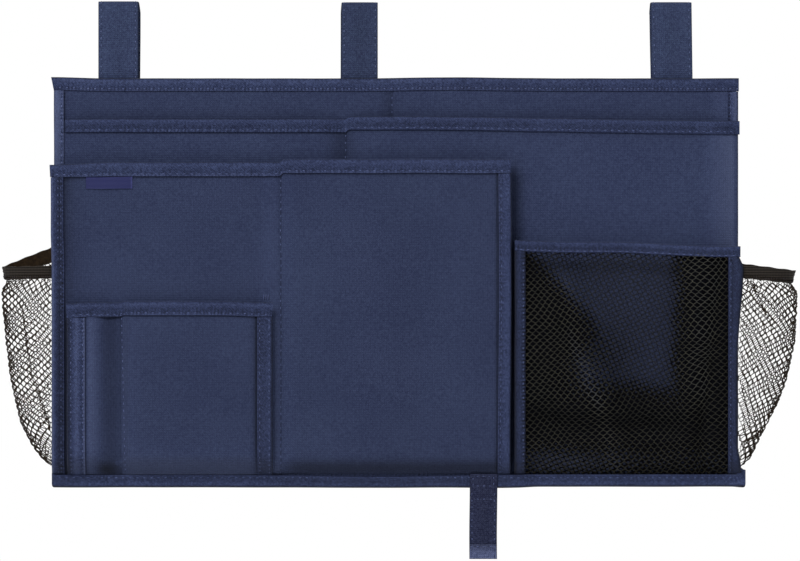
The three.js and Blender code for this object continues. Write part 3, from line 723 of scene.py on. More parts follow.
def twilled(name, dark, light, period, relief):
    """Binding tape: a slanting twill with a dull shine, drawn coarse as the cloth is."""
    material, tree, shader, place = start_material(name, 0.74, 0.04)
    slanted = add_node(
        tree, "ShaderNodeVectorRotate", {"Vector": place, "Angle": math.radians(45)},
        rotation_type="Y_AXIS",
    ).outputs["Vector"]
    rib = math_node(tree, "MULTIPLY", threads(tree, slanted, "X", period, 2.0),
                    threads(tree, slanted, "Z", period * 0.8, 2.0))
    yarn = blotches(tree, place, period * 0.9)
    cloud = blotches(tree, place, 30, 2.0)
    tone = math_node(tree, "ADD", math_node(tree, "MULTIPLY", yarn, 0.75),
                     math_node(tree, "MULTIPLY", cloud, 0.15))
    tone = math_node(tree, "ADD", tone, math_node(tree, "MULTIPLY", rib, 0.16))
    toned(tree, shader, tone, dark, light, 0.38, 0.66)
    raised(tree, shader, math_node(tree, "ADD", math_node(tree, "MULTIPLY", rib, 0.6), yarn),
           relief)
    return material


def plain_yarn(name, dark, light, size, relief, roughness=0.7, shine=SHINE):
    """Yarn, knitted net and other dull synthetics: a grain of one size."""
    material, tree, shader, place = start_material(name, roughness)
    shader.inputs["Specular IOR Level"].default_value = shine
    grain = blotches(tree, place, size)
    toned(tree, shader, grain, dark, light)
    raised(tree, shader, grain, relief)
    return material


def ribbed_elastic(name):
    """Knitted elastic: rubber-cored ribs with black yarn wrapped round them."""
    material, tree, shader, place = start_material(name, 0.6, 0.04)
    rib = threads(tree, place, "Z", 2.2, 0.2)
    wrap = threads(tree, place, "X", 1.3, 0.6)
    relief = math_node(tree, "ADD", rib, math_node(tree, "MULTIPLY", wrap, 0.5))
    tone = math_node(tree, "MULTIPLY", relief, 0.6)
    toned(tree, shader, tone, "#080605", "#322c27", 0.1, 0.8)
    raised(tree, shader, relief, 0.4)
    return material


def label_satin(name):
    """Woven satin label: close weft threads with a soft shine, and a paler folded end."""
    material, tree, shader, place = start_material(name, 0.45)
    weft = threads(tree, place, "Z", 1.1, 0.2)
    split = add_node(tree, "ShaderNodeSeparateXYZ", {"Vector": place}).outputs["X"]
    end = add_node(
        tree, "ShaderNodeMapRange",
        {"Value": split, "From Min": (LABEL_RIGHT - 1.7) * MM,
         "From Max": (LABEL_RIGHT - 1.1) * MM, "To Max": 0.5},
    ).outputs["Result"]
    tone = math_node(tree, "ADD", math_node(tree, "MULTIPLY", weft, 0.35), end)
    toned(tree, shader, tone, "#191d49", "#373c6c", 0.0, 0.9)
    raised(tree, shader, weft, 0.15)
    return material


def grey_board(name):
    """Pressed plastic board inside the panel."""
    material, tree, shader, place = start_material(name, 0.45)
    shader.inputs["Base Color"].default_value = linear("#8f9294")
    raised(tree, shader, blotches(tree, place, 12), 0.05)
    return material


MATERIALS = {
    # 600D polyester, plain-woven and coated behind: dull navy with a fine grain
    "cloth": woven("oxford_cloth", "#252c47", "#353e5a", 2.0, 0.25),
    # The same cloth with its grain drawn closer, where it is folded into a strap
    "strap": woven("strap_cloth", "#272e49", "#394460", 1.8, 0.4, slub=0.95),
    # The same, drawn darker on the bottom strap as painted shade, and paler on its hem as
    # painted light
    "bottom_strap": woven("bottom_strap_cloth", "#161a32", "#31364f", 1.8, 0.5, slub=0.95),
    "hem": woven("hem_cloth", "#3a4160", "#5b6386", 1.8, 0.5, slub=0.95),
    # 25 mm polyester binding tape, ribbed and folded in half: a pebbly grain
    "tape": twilled("binding_tape", "#1c233d", "#3b4567", 1.6, 0.3),
    # The tapes' woven edges, drawn dark as painted shade where they are pressed into the cloth
    "painted_edge_shade": plain_yarn("tape_painted_edge_shade", "#131831", "#232942", 1.5, 0.2, 0.85),
    # Spun polyester thread: grey-blue dashes, a little paler than the tape
    "thread": plain_yarn("stitch_thread", "#3c4568", "#576188", 0.6, 0.05, 0.6),
    # Knitted polyester net: black threads with a slight olive shine
    "net": plain_yarn("knitted_net", "#232320", "#393831", 3.0, 0.05, 0.6, 0.08),
    # The net folded in layers: near black, partly its own black and partly painted shade
    "folded_net": plain_yarn("folded_net", "#040407", "#0c0c11", 2.0, 0.3, 0.8, 0.03),
    "bottle_net": plain_yarn("bottle_net", "#181008", "#2c2115", 3.0, 0.05, 0.6, 0.06),
    "elastic": ribbed_elastic("ribbed_elastic"),
    "label": label_satin("label_satin"),
    # Moulded nylon hooks and brushed nylon loops: both dull and dark
    "hooks": plain_yarn("hook_tape", "#141728", "#2b3046", 1.2, 0.7, 0.55),
    "loops": plain_yarn("loop_tape", "#191e33", "#333954", 0.9, 0.5, 0.95),
    "board": grey_board("stiffener_board"),
}


# The panel


def panel_rear(x, drop):
    return 0


def cover_front(x, drop):
    return COVER_FRONT


def wide_edge(x, drop):
    """Front of the wide pocket's cloth where the left tape binds it."""
    return COVER_FRONT - PINCH - CLOTH


def over_pockets(x, drop):
    """Front of what the bottom tape binds, pressed flatter under the bottom strap."""
    under_strap = ease(x, 60, 64) * ease(-x, -92, -88)
    return POCKETS_FRONT - 1.1 * (1 - under_strap)


def build_covers():
    reach, inner = HALF - EDGE, HALF - SIDE_LEG
    xs = sorted(spread(-reach, reach, 8) + [FOLD_X + step for step in (-2, -0.8, 0, 0.8, 2)]
                + beside(-inner, 1) + beside(inner, -1))

    def drops(x):
        return sorted(spread(EDGE, LAST, 6) + beside(TOP_LEG, 1))

    def front(x, drop):
        seam = 0.7 * dip(x, FOLD_X, 1.1)
        seam += pressed(drop - TOP_LEG, inner - abs(x), depth=0.15)
        soft = 0.2 * (1 + ripple(x, drop, 40, 5)) * ease(drop, 12, 20)
        return COVER_REAR + seam - soft * (1 - dip(x, FOLD_X, 2))

    # Painted shade beside the fold and under the wide pocket, painted light towards the right
    # edge
    def front_tone(x, drop):
        seam = 0.2 * dip(x, FOLD_X - 3, 5)
        painted_light = 0.2 * ease(x, 272, 282) + 0.05 * ease(x, -10, 20)
        under_mouth = 0.12 * ease(drop, 28, 34)
        return 1 - seam + painted_light - under_mouth

    def back(x, drop):
        loose = ease(HALF - abs(x), 9, 20) * ease(drop, 14, 24) * ease(HEIGHT - drop, 12, 22)
        return 0.12 * (1 + ripple(x, drop, 60, 6)) * loose

    for name, shape, tone in (("front_cover", front, front_tone), ("back_cover", back, None)):
        made = sheet(f"{name}_cloth", xs, drops, shape, MATERIALS["cloth"], tone)
        finish(made, "oxford_cloth", name)
    rows = Stitches()
    rows.row(down_row(lambda drop: FOLD_X, spread(TOP_LEG + 1, 36, 3), cover_front, -0.25))
    rows.finish("fold_line_stitches")
    for side in ("left", "right"):
        board = bpy.data.objects[f"stiffener_board_{side}"]
        board.data.materials.clear()
        board.data.materials.append(MATERIALS["board"])


def top_edge(x):
    """Edge of the top tape, which bows up right of the middle and at its left end."""
    return -0.2 - 0.9 * dip(x, 50, 50) - 1.2 * (1 - ease(x, -HALF, -255))


def build_upper_tapes():
    tape("top", along_x(-HALF - 3, HALF + 1.2, top_edge, (0.2, 0), seed=1), TOP_LEG,
         panel_rear, cover_front, rim=0.35,
         shade_at=lambda x, drop: 1 - 0.08 * ease(x, 20, 60))
    for side, edge, inward, seed, front_at, rim in (
        ("left", LEFT_EDGE, 1, 2, wide_edge, 1.3),
        ("right", RIGHT_EDGE, -1, 3, cover_front, 1.0),
    ):
        start = top_edge(-inward * HALF) + TOP_LEG + 0.1
        tape(side, along_drop(start, TAPE_END, lambda drop: edge, inward, 0.2, seed),
             SIDE_LEG, panel_rear, front_at, rim=rim)


def bottom_edge(x):
    """Edge of the bottom tape, which sags a little and is rounded at its ends."""
    edge = HEIGHT + 0.9 + 0.4 * dip(x, 90, 25) - 0.6 * ease(x, 105, 125)
    edge += 0.4 * dip(x, -18, 65) + 0.6 * ease(x, HALF - 5, HALF + 5)
    edge += 0.2 * ripple(x, 0, 50, 4)
    radius = 2.2
    for gap in (x - BOTTOM_LEFT, BOTTOM_RIGHT - x):
        edge -= radius * (1 - math.sqrt(1 - clamp(1 - gap / radius) ** 2))
    return edge


def bottom_tone(x, drop):
    """Painted light and shade on the bottom tape: paler under the small pocket's shadow and at
    the right.
    """
    small = ease(x, SMALL_LEFT, SMALL_LEFT + 20) * ease(-x, -SMALL_RIGHT - 12, -SMALL_RIGHT)
    return 0.88 + 0.15 * small + 0.16 * ease(x, 90, 110) + 0.3 * ease(x, 280, HALF)


def build_bottom_tape():
    close = (0, 0.25, 0.6, 1.1)
    xs = [BOTTOM_LEFT + step for step in close]
    xs += spread(BOTTOM_LEFT + 1.7, BOTTOM_RIGHT - 1.7, 1.5)
    xs += [BOTTOM_RIGHT - step for step in close[::-1]]
    stations = []
    for x in xs:
        right_ear = 6 * ease(x, HALF - 1, HALF + 1.4) - 2.2 * ease(x, HALF + 2.2, HALF + 6)
        left_ear = 1.5 * (1 - ease(x, BOTTOM_LEFT, BOTTOM_LEFT + 3))
        lip = 0.6 - 1.7 * dip(x, -18, 70) + 0.4 * ease(x, 100, 115)
        tall = bottom_edge(x) - FOOT + right_ear + left_ear + lip
        stations.append((x, bottom_edge(x), 0, -tall / BOTTOM_LEG))
    tape("bottom", stations, BOTTOM_LEG, panel_rear, over_pockets, puff=0.5, roll=2.2,
         rim=0.3, pucker=0.3, shade_at=bottom_tone)


def build_panel_stitches():
    rows = Stitches()
    rows.row(across_row(spread(-HALF, HALF, 6), lambda x: top_edge(x) + TOP_LEG - INSET,
                        cover_front, ON_TAPE))
    rows.finish("top_tape_stitches", tone=1.2)
    rows = Stitches()
    for edge, inward, last, front_at in (
        (LEFT_EDGE, 1, 74, wide_edge),
        (RIGHT_EDGE, -1, 35, cover_front),
    ):
        x = edge + inward * (SIDE_LEG - INSET)
        rows.row(down_row(lambda drop: x, spread(TOP_LEG + 2, last, 4), front_at, ON_TAPE))
    rows.finish("side_tape_stitches", tone=1.3)
    rows = Stitches()
    rows.row(across_row(spread(-HALF, HALF + 4, 6), lambda x: FOOT + 2.1, over_pockets,
                        ON_TAPE))
    rows.finish("bottom_tape_stitches", tone=0.9)


# The pockets


def columns(left, right, step, seam, *edges):
    """Places across a pocket, closer beside its seam and the edges that tapes press.

    An edge is (place, 1 or -1 for its open side).
    """
    xs = spread(left, right, step) + beside(seam, 1) + beside(seam, -1)[1:]
    for place, towards in edges:
        xs += beside(place, towards)
    return sorted(xs)


def rows_below(mouth_at, leg, step=6):
    """Drops at each x from a pocket's mouth down, closer under its tape and at its foot."""

    def drops(x):
        mouth = mouth_at(x)
        return sorted(to_foot(mouth + EDGE, LAST, step) + beside(mouth + leg, 1))

    return drops


def side_gusset(name, node, x, mouth, behind, pocket, gap, material, slot="oxford_cloth"):
    """Wall at a pocket's side, with a soft fold down its middle."""
    rings = []
    for share in spread(0, 1, 1 / 6):
        sides = []
        for offset in (-CLOTH / 2, CLOTH / 2):
            side = []
            for drop in to_foot(mouth, FOOT - 3, 8):
                y = mix(behind(x, drop) - SEAM, pocket(x, drop) + gap, share)
                bow = 1.2 * math.sin(math.pi * share) * turned(drop)
                side.append(at(x + offset + bow, y, drop))
            sides.append(side)
        rings.append(sides[0] + sides[1][::-1])
    return finish(skin(name, rings, material), slot, node)


# Painted light and shade: dark in creases and under tapes, pale at the right end and behind the
# net
def wide_tone(x, drop):
    fold = 0.25 * dip(x, WIDE["divider"] - 2, 9)
    right_end = 0.7 * ease(x, 264, 298) - 0.9 * ease(x, HALF - 2.6, HALF - 0.6)
    behind_net = ease(drop, 150, 160) + 2 * ease(drop, 318, 338)
    behind_net *= 0.35 * ease(x, MESH_LEFT, MESH_LEFT + 30)
    groove = 0.3 * dip(x, FRONT_RIGHT + 3, 5) * ease(drop, 70, 80)
    under_tape = 0.16 * dip(drop, wide_mouth(x) + WIDE["leg"] + 1, 3)
    behind_front = 0.1 * ease(drop, 64, 72) * (x < FRONT_RIGHT)
    return 1.1 * (1 - fold + right_end + behind_net - groove) - under_tape - behind_front


def build_wide_pocket():
    reach_left, reach_right = -HALF + EDGE, HALF + 0.4
    divider = WIDE["divider"]

    def shape(x, drop):
        dent = pressed(drop - wide_mouth(x) - WIDE["leg"]) + 0.8 * dip(x, divider, 1.2)
        return wide_rear(x, drop) + dent + 0.6 * ease(x, HALF - 4, HALF)

    cloth = sheet("wide_pocket_cloth",
                  columns(reach_left, reach_right, 5, divider, (WIDE_LEFT, 1)),
                  rows_below(wide_mouth, WIDE["leg"], 8), shape, MATERIALS["cloth"], wide_tone)
    finish(cloth, "oxford_cloth", "wide_pocket_panel")
    tape("wide_pocket", along_x(WIDE_LEFT, HALF + 1.8, wide_mouth, seed=7), WIDE["leg"],
         wide_rear, wide_front)
    rows = Stitches()
    rows.row(across_row(spread(WIDE_LEFT + 2, HALF, 5),
                        lambda x: wide_mouth(x) + WIDE["leg"] - INSET, wide_front, ON_TAPE))
    rows.row(down_row(lambda drop: divider + 0.8 * ripple(0, drop, 8, 2),
                      spread(wide_mouth(divider) + 1, 75, 2), wide_front, ON_TAPE))
    rows.finish("wide_pocket_stitches")


# Painted light and shade: dark beside the tapes and at the foot, pale on slopes facing the
# light
def front_tone(x, drop):
    left, right = FRONT_INNER
    low = ease(drop, 200, 215)  # beside the small pocket
    by_left_tape = 0.55 * math.exp(-max(x - left, 0) / 7) * (x < PARTITION)
    by_left_tape += 0.3 * dip(x, left + 2, 4) * low
    by_right_tape = 0.5 * dip(x, right - 0.5, 1.5)
    by_small_pocket = 0.25 * dip(x, SMALL_RIGHT + 4, 4) * low
    seam = 0.14 * dip(x, PARTITION - 8, 9) + 0.08 * dip(x, PARTITION + 6, 8)
    seam -= 0.08 * dip(x, PARTITION, 1.2)
    hollow = 0.04 * dip(x, 5, 25)
    foot = 0.4 * dip(drop, 340, 7) - 0.4 * dip(drop, FOOT + 0.5, 3)
    foot *= ease(x, PARTITION, PARTITION + 14)
    under_tape = 0.25 * dip(drop, front_mouth(x) + FRONT["leg"] + 0.5, 1.6)
    return (1 - by_left_tape - by_right_tape + by_small_pocket + seam - hollow - foot
            - under_tape)


def front_left_edge(drop):
    return FRONT_LEFT + 0.8 * ease(drop, 130, 165)


def front_right_edge(drop):
    return FRONT_RIGHT + 0.6 * math.sin((drop - 80) / 60)


def build_front_tapes():
    tape("front_pocket_top",
         along_x(FRONT_LEFT - 0.9, FRONT_RIGHT, front_mouth, (0.04, 0), seed=9, short=NARROW),
         FRONT["leg"], front_rear, front_front)
    for side, edge, inward, share, rim in (
        ("left", front_left_edge, 1, 0.87, 1.8),
        ("right", front_right_edge, -1, 1, 0.7),
    ):
        start = front_mouth(edge(90)) + FRONT["leg"] * share + 0.15
        tape(f"front_pocket_{side}",
             along_drop(start, TAPE_END, edge, inward, 0.25, 10 + inward),
             FRONT["side"], front_rear, front_front, puff=1.6, rim=rim)


def build_front_walls():
    """Walls of the front pocket, and the one behind the stitched line that divides it."""

    def over_left_tape(x, drop):
        return wide_edge(x, drop) - EDGE

    return [
        side_gusset(f"front_pocket_{part}_wall", f"front_pocket_{node}", x, mouth, behind,
                    front_rear, gap, MATERIALS["cloth"])
        for part, node, x, mouth, behind, gap in (
            ("left", "gusset_left", FRONT_LEFT + 7.8, front_mouth(FRONT_LEFT),
             over_left_tape, PINCH),
            ("right", "gusset_right", FRONT_RIGHT - 6, front_mouth(FRONT_RIGHT), wide_front,
             PINCH),
            ("middle", "partition", PARTITION, front_mouth(PARTITION) + FRONT["leg"],
             wide_front, SEAM),
        )
    ]


def build_front_stitches():
    rows = Stitches()
    rows.row(across_row(spread(FRONT_LEFT + 1, FRONT_RIGHT - 1, 5),
                        lambda x: front_mouth(x) + FRONT["leg"] - INSET
                        - 1.5 * (1 - ease(x, FRONT_LEFT, FRONT_LEFT + NARROWING)),
                        front_front, ON_TAPE))
    drops = spread(front_mouth(0) + FRONT["leg"] + 2, ROW_END, 4)
    inner = FRONT["side"] - INSET
    for x_at, lift in (
        (lambda drop: FRONT_LEFT + inner, ON_TAPE),
        (lambda drop: FRONT_LEFT + inner - 2.6, ON_TAPE + 0.5),
        (lambda drop: front_right_edge(drop) - inner, ON_TAPE),
        (lambda drop: PARTITION + 0.5 * ripple(0, drop, 30, 5), -0.1),
    ):
        rows.row(down_row(x_at, drops, front_front, lift))
    rows.row(down_row(lambda drop: PARTITION + 0.3, spread(71.5, 83, 3), front_front, ON_TAPE))
    rows.finish("front_pocket_stitches")


def build_front_pocket():
    left, right = FRONT_INNER

    def shape(x, drop):
        dent = pressed(drop - front_mouth(x) - FRONT["leg"], x - left, right - x)
        return front_rear(x, drop) + dent * turned(drop) + 0.5 * dip(x, PARTITION, 0.9)

    cloth = sheet("front_pocket_cloth",
                  columns(FRONT_LEFT + EDGE, FRONT_RIGHT - EDGE, 4, PARTITION, (left, 1),
                          (right, -1)),
                  rows_below(front_mouth, FRONT["leg"]), shape, MATERIALS["cloth"],
                  front_tone)
    finish(cloth, "oxford_cloth", "front_pocket_panel")
    build_front_tapes()
    build_front_walls()
    build_front_stitches()


# Painted light and shade: pale and dark sides of the pen slot, dark beside the tapes and at the
# foot
def small_tone(x, drop):
    left, right = SMALL_INNER
    pen_slot = 0.5 * dip(x, PEN - 26, 8) - 0.16 * dip(x, PEN - 11, 8)
    seam = 0.3 * math.exp(-abs(x - PEN - 2) / 7) * (x > PEN) - 0.16 * dip(x, PEN - 5, 5)
    seam -= 0.15 * dip(x, PEN, 1.2)
    by_tapes = 0.7 * dip(x, left, 1.7) + 0.28 * dip(x, right, 4.5)
    by_tapes += 0.4 * dip(x, right - 0.5, 1.5)
    foot = 0.35 * dip(drop, 338, 12) * ease(x, PEN, PEN + 12)
    foot += 0.5 * dip(drop, FOOT, 2.5) * ease(x, PEN, PEN + 6)
    foot -= 0.62 * dip(x, PEN - 15, 10) * dip(drop, 341, 6)
    under_tape = 0.22 * dip(drop, small_mouth(x) + SMALL["leg"] + 0.5, 1.6)
    return 1 + pen_slot + seam - by_tapes + foot - under_tape


def build_small_sides():
    """Tapes and walls at the sides of the small pocket. The walls are returned."""
    walls = []
    for side, x, inward, below in (
        ("left", SMALL_LEFT, 1, 1.2),
        ("right", SMALL_RIGHT, -1, 0.6),
    ):
        start = SMALL["mouth"] + SMALL["leg"] + below
        tape(f"small_pocket_{side}",
             along_drop(start, TAPE_END, lambda drop: x, inward, 0.25, 16 + inward),
             SMALL[side], small_rear, small_front, puff=1.4, rim=0.5)
        walls.append(side_gusset(f"small_pocket_{side}_wall", f"small_pocket_gusset_{side}",
                                 x + 7 * inward, SMALL["mouth"], front_front, small_rear,
                                 PINCH, MATERIALS["cloth"]))
    return walls


def build_small_stitches():
    rows = Stitches()
    rows.row(across_row(spread(SMALL_LEFT + 1, SMALL_RIGHT - 1, 4),
                        lambda x: small_mouth(x) + SMALL["leg"] - INSET, small_front, ON_TAPE))
    drops = spread(SMALL["mouth"] + SMALL["leg"] + 2, ROW_END, 4)
    left, right = SMALL_INNER
    for x, lift in ((SMALL_LEFT + 3.4, 2.3), (left - INSET, ON_TAPE),
                    (SMALL_RIGHT - 2.8, 2.4), (right + INSET, ON_TAPE)):
        rows.row(down_row(lambda drop: x, drops, small_front, lift))
    rows.row(down_row(lambda drop: mix(PEN, PEN + 3.6, (drop - 195) / 150),
                      spread(SMALL["mouth"] + 1, ROW_END, 3), small_front, 0.0))
    for i in range(6):  # bar tack where the mouth is most pulled
        x = SMALL_RIGHT - 7.5 + i * 0.9
        rows.row([at(x, front_front(x, drop) - 0.15, drop) for drop in (187.5, 194.5)],
                 pitch=7, length=6, thick=0.7)
    rows.finish("small_pocket_stitches")


def build_small_pocket():
    left, right = SMALL_INNER

    def shape(x, drop):
        dent = pressed(drop - small_mouth(x) - SMALL["leg"], x - left, right - x)
        dent += 2.2 * dip(x, PEN - 10, 7) - 1.2 * dip(x, PEN - 26, 7)
        dent = dent * turned(drop, SLOW_TURN) ** 2 + 0.4 * dip(x, PEN, 0.9)
        return small_rear(x, drop) + dent

    cloth = sheet("small_pocket_cloth",
                  columns(SMALL_LEFT + EDGE, SMALL_RIGHT - EDGE, 3.2, PEN, (left, 1),
                          (right, -1)),
                  rows_below(small_mouth, SMALL["leg"], 5), shape, MATERIALS["cloth"],
                  small_tone)
    finish(cloth, "oxford_cloth", "small_pocket_panel")
    tape("small_pocket_top",
         along_x(SMALL_LEFT - 0.8, SMALL_RIGHT + 0.6, small_mouth, (0.04, -0.1), 0.3, 15),
         SMALL["leg"], small_rear, small_front)
    build_small_sides()
    build_small_stitches()


# The net pocket: its net lies inside these edges, and a second net is folded up behind it
NET_LEFT, NET_RIGHT = MESH_LEFT + 7, MESH_RIGHT - 5.5
NET_TOP, NET_BOTTOM = MESH["mouth"] + 5, FOOT + 4

# Where the folded net ends at the left: (drop, x)
FOLDED_EDGE = [(146, 102), (160, 119), (212, 165), (225, 168), (250, 150), (350, 154)]


def net_front(x, drop):
    return mesh_rear(x, drop) - CLOTH


def mesh_right_edge(drop):
    """Edge of the right tape, pulled out by the bottle net below its top and at its foot."""
    flare = 5.1 * dip(drop, 166, 45) * ease(drop, 150, 166) + 3.3 * ease(drop, 318, 342)
    return MESH_RIGHT - 1 + flare


def build_mesh_tapes():
    tape("mesh_pocket_top", along_x(MESH_LEFT, MESH_RIGHT + 1.4, mesh_mouth, (0, 0), 0.6, 23),
         MESH["leg"], mesh_rear, net_front)
    for side, edge, inward, below in (
        ("left", lambda drop: MESH_LEFT, 1, 0.2),
        ("right", mesh_right_edge, -1, -0.5),
    ):
        start, leg = mesh_mouth(edge(0)) + MESH["leg"] + below, MESH[side]
        stations = along_drop(start, TAPE_END, edge, inward, 0.4, 25 + inward)
        if side == "right":
            stations = [(x, drop, (MESH_INNER - x) / leg, 0) for x, drop, _, _ in stations]
        tape(f"mesh_pocket_{side}", stations, leg, mesh_rear, net_front, puff=1.2, rim=0.35)


def slanting_fold(drop):
    """Where the loose net's slanting fold crosses a drop."""
    return mix(143, 182, (drop - 180) / 118)


def hanging_fold(drop):
    """Where the fold that hangs near the right tape crosses a drop."""
    return 279 - 0.1 * (drop - 190)


def slack(x, drop):
    """How far the loose net's folds stand forward."""
    slant, hung = slanting_fold(drop), hanging_fold(drop)
    folds = 3.4 * dip(x, slant + 6, 12) - 2.2 * dip(x, slant + 30, 18)
    folds += 2.8 * dip(x, hung - 16, 12) - 3.0 * dip(x, hung, 6) + 1.5 * dip(x, hung + 9, 6)
    folds += 2.4 * dip(drop, 318 - 0.06 * (x - 200), 7) - 1.8 * dip(drop, 303, 9)
    inside = ease(x, NET_LEFT, NET_LEFT + 16) * ease(NET_RIGHT - x, 0, 12)
    inside *= ease(drop, NET_TOP, NET_TOP + 16)
    return (folds + 1.2 * ripple(x, drop, 30, 31)) * inside * turned(drop)


def hung_net(gap, sway, seed):
    """The shape of a net that hangs a gap behind the pocket's face, with uneven holes."""

    def point(a, b):
        x, drop = NET_LEFT + a, NET_TOP + b
        inside = ease(x, NET_LEFT - 2, NET_LEFT + 24) * ease(NET_RIGHT - x, -2, 24)
        hung = hanging_fold(drop)
        pull = 0.45 * (hung - x) * dip(x, hung, 9)
        x += (sway * ripple(x, drop, 34, seed) + pull) * inside
        drop += sway * ripple(x, drop, 30, seed + 1) * inside
        if not NET_LEFT - 3 < x < NET_RIGHT + 1 or not mesh_mouth(x) + 2 < drop < NET_BOTTOM:
            return None
        y = mesh_rear(x, drop) - 0.4 - slack(x, drop) + gap * turned(drop)
        return at(x, y, drop)

    return point


def net_tone(a, b):
    """Painted highlights on the threads beside the folds, and painted shade past them and in a
    corner.
    """
    x, drop = NET_LEFT + a, NET_TOP + b
    slant, hung = slanting_fold(drop) + 4, hanging_fold(drop)
    tone = mix(1.0, 0.5, ease(x, slant - 4, slant + 16))
    tone = mix(tone, 1.25, ease(x, 240, 262)) - 0.7 * ease(x, hung - 2, hung + 8)
    tone = mix(tone, 0.75, ease(drop, 268, 300)) - 0.3 * dip(drop, 300 + 0.1 * (x - 200), 9)
    tone += 0.5 * dip(x, slant - 7, 6) * ease(drop, 200, 240) + 0.1 * ripple(x, drop, 9, 5)
    corner = (1 - ease(drop, NET_TOP + 14, NET_TOP + 40)) * (1 - ease(x, 150, 180))
    return tone * (1 - 0.65 * corner)


# Filled holes stand partly for layers of net lying thick and partly for painted shade
def folded_open(a, b):
    """Openness of the folded net: closed at its sides and low down, open at its foot."""
    x, drop = NET_LEFT + a, NET_TOP + b
    for (d0, x0), (d1, x1) in zip(FOLDED_EDGE, FOLDED_EDGE[1:]):
        if drop <= d1:
            break
    left = mix(x0, x1, clamp((drop - d0) / (d1 - d0))) + 5 * ripple(x, drop, 30, 41)
    low = 271 + 6 * ripple(x, drop, 40, 43) + 6 * ease(x, 200, 240)
    covered = max(1 - ease(x, left - 16, left + 18),
                  ease(x + 4 * ripple(x, drop, 26, 45), 234, 258),
                  ease(drop, low - 20, low + 20),
                  0.3 * (1 - ease(drop, NET_TOP, NET_TOP + 12)),
                  0.2 * dip(x, 178, 24) * dip(drop, 242, 22))
    foot = 0.85 * ease(drop, 308, 332) * mix(1, 0.6, ease(x, 150, 240))
    return 1 - covered * 0.97 * (1 - foot)


def build_mesh_pocket():
    build_mesh_tapes()
    walls = [
        side_gusset(f"mesh_pocket_{side}_wall", f"mesh_pocket_gusset_{side}", x,
                    mesh_mouth(x), wide_front, mesh_rear, PINCH, MATERIALS["folded_net"],
                    "black_net")
        for side, x in (("left", MESH_LEFT + 5), ("right", MESH_RIGHT - 5))
    ]
    width, height = NET_RIGHT - NET_LEFT + 4, NET_BOTTOM - NET_TOP
    net = knitted_net("mesh_pocket_knitted_net", width, height, 4.1, 0.52, -5,
                      hung_net(0, 3.6, 71), MATERIALS["net"], tone_at=net_tone)
    finish(net, "black_net", "mesh_pocket_net")
    net = knitted_net("mesh_pocket_folded_net", width, height, 3.6, 0.42, 24,
                      hung_net(5.0, 2.4, 81), MATERIALS["folded_net"], open_at=folded_open)
    finish(net, "black_net")
    rows = Stitches()
    xs = spread(MESH_LEFT + 1, MESH_RIGHT, 4)
    rows.row(across_row(xs, lambda x: mesh_mouth(x) + MESH["leg"] - 1.5, net_front, 1.1))
    for x in (MESH_LEFT + MESH["left"] - INSET, MESH_INNER + INSET):
        rows.row(down_row(lambda drop: x, spread(160, ROW_END, 4), net_front, ON_TAPE))
    rows.finish("mesh_pocket_stitches")


# The bottle nets. Reach is how far a bag stands out, and its outline gives shares of that at
# shares of its height. Front, tip and rear are the drops of its mouth from the front seam
# round to the rear one. Band is the elastic's share of the reach at its top and its lower
# edge, and tall is how much it is stretched at the rear. Turn is how the knitting lies, in
# degrees, and creases are lines (x, drop, x, drop) where the net is drawn over itself.
BAGS = {
    "left": {
        "side": -1, "reach": 46.4, "front": 163, "tip": 164.5, "rear": 146.6, "tall": 2.8,
        "turn": 86, "band": (0.976, 0.926),
        "creases": ((-314, 265, -301, 308), (-325, 205, -318, 260)),
        "outline": [(0, 0.9), (0.054, 1), (0.17, 0.985), (0.32, 0.93), (0.49, 0.865),
                    (0.64, 0.76), (0.77, 0.655), (0.885, 0.44), (0.955, 0.255),
                    (0.993, 0.105), (1, 0.04)],
    },
    "right": {
        "side": 1, "reach": 52.7, "front": 162.5, "tip": 167.6, "rear": 161, "tall": 0,
        "turn": 76, "band": (0.956, 0.892),
        "creases": ((309, 177, 327, 215), (302, 319, 320, 307)),
        "outline": [(0, 0.9), (0.048, 1), (0.16, 0.99), (0.3, 0.97), (0.42, 0.9),
                    (0.54, 0.81), (0.65, 0.685), (0.76, 0.52), (0.86, 0.37), (0.95, 0.23),
                    (0.985, 0.13), (1, 0.04)],
    },
}
BAG_FOOT = 338.5
FULL_FRONT, FULL_REAR = 12, 22  # how far a bag swells past its seams
SECTION = 1.6  # how pointed a bag's level section is at its outer edge
BAND = 11.4  # height of the elastic


def outward(turn):
    """Share of a bag's reach at a turn: its front and rear meet in a soft outer edge."""
    return 1 - abs(math.cos(math.pi * turn)) ** SECTION


def bag_reach(bag, drop):
    top = bag["tip"] + BAND
    if drop < top:
        return bag["reach"] * mix(bag["band"][1], bag["band"][0], (top - drop) / BAND)
    share = clamp((drop - top) / (BAG_FOOT - top))
    for (h0, r0), (h1, r1) in zip(bag["outline"], bag["outline"][1:]):
        if share <= h1:
            return bag["reach"] * mix(r0, r1, (share - h0) / (h1 - h0))


def bag_point(bag, turn, drop, inset):
    """A point of a bottle net. Turn is 0 at the rear seam and 1 at the front seam."""
    side = bag["side"]
    clear = EDGE + SEAM + 0.3
    if side < 0:
        front = front_rear(FRONT_LEFT, drop) + clear
        rear_x, front_x = -HALF, FRONT_LEFT + 7.4
    else:
        front = mesh_rear(MESH_RIGHT, drop) + clear
        rear_x, front_x = HALF, MESH_RIGHT - 4.6
    rear = -0.5
    out, fore = math.sin(math.pi * turn), math.cos(math.pi * turn)
    full = (FULL_FRONT if fore > 0 else FULL_REAR) * clamp((BAG_FOOT - drop) / 32, 0.1, 1)
    half = (rear - front) / 2 + full * out**2 - inset
    base = mix(rear_x, front_x, ease(turn, 0.85, 1)) + side * SEAM
    reach = bag_reach(bag, drop) - inset
    return Vector((base + side * reach * outward(turn), (rear + front) / 2 + half * fore, drop))


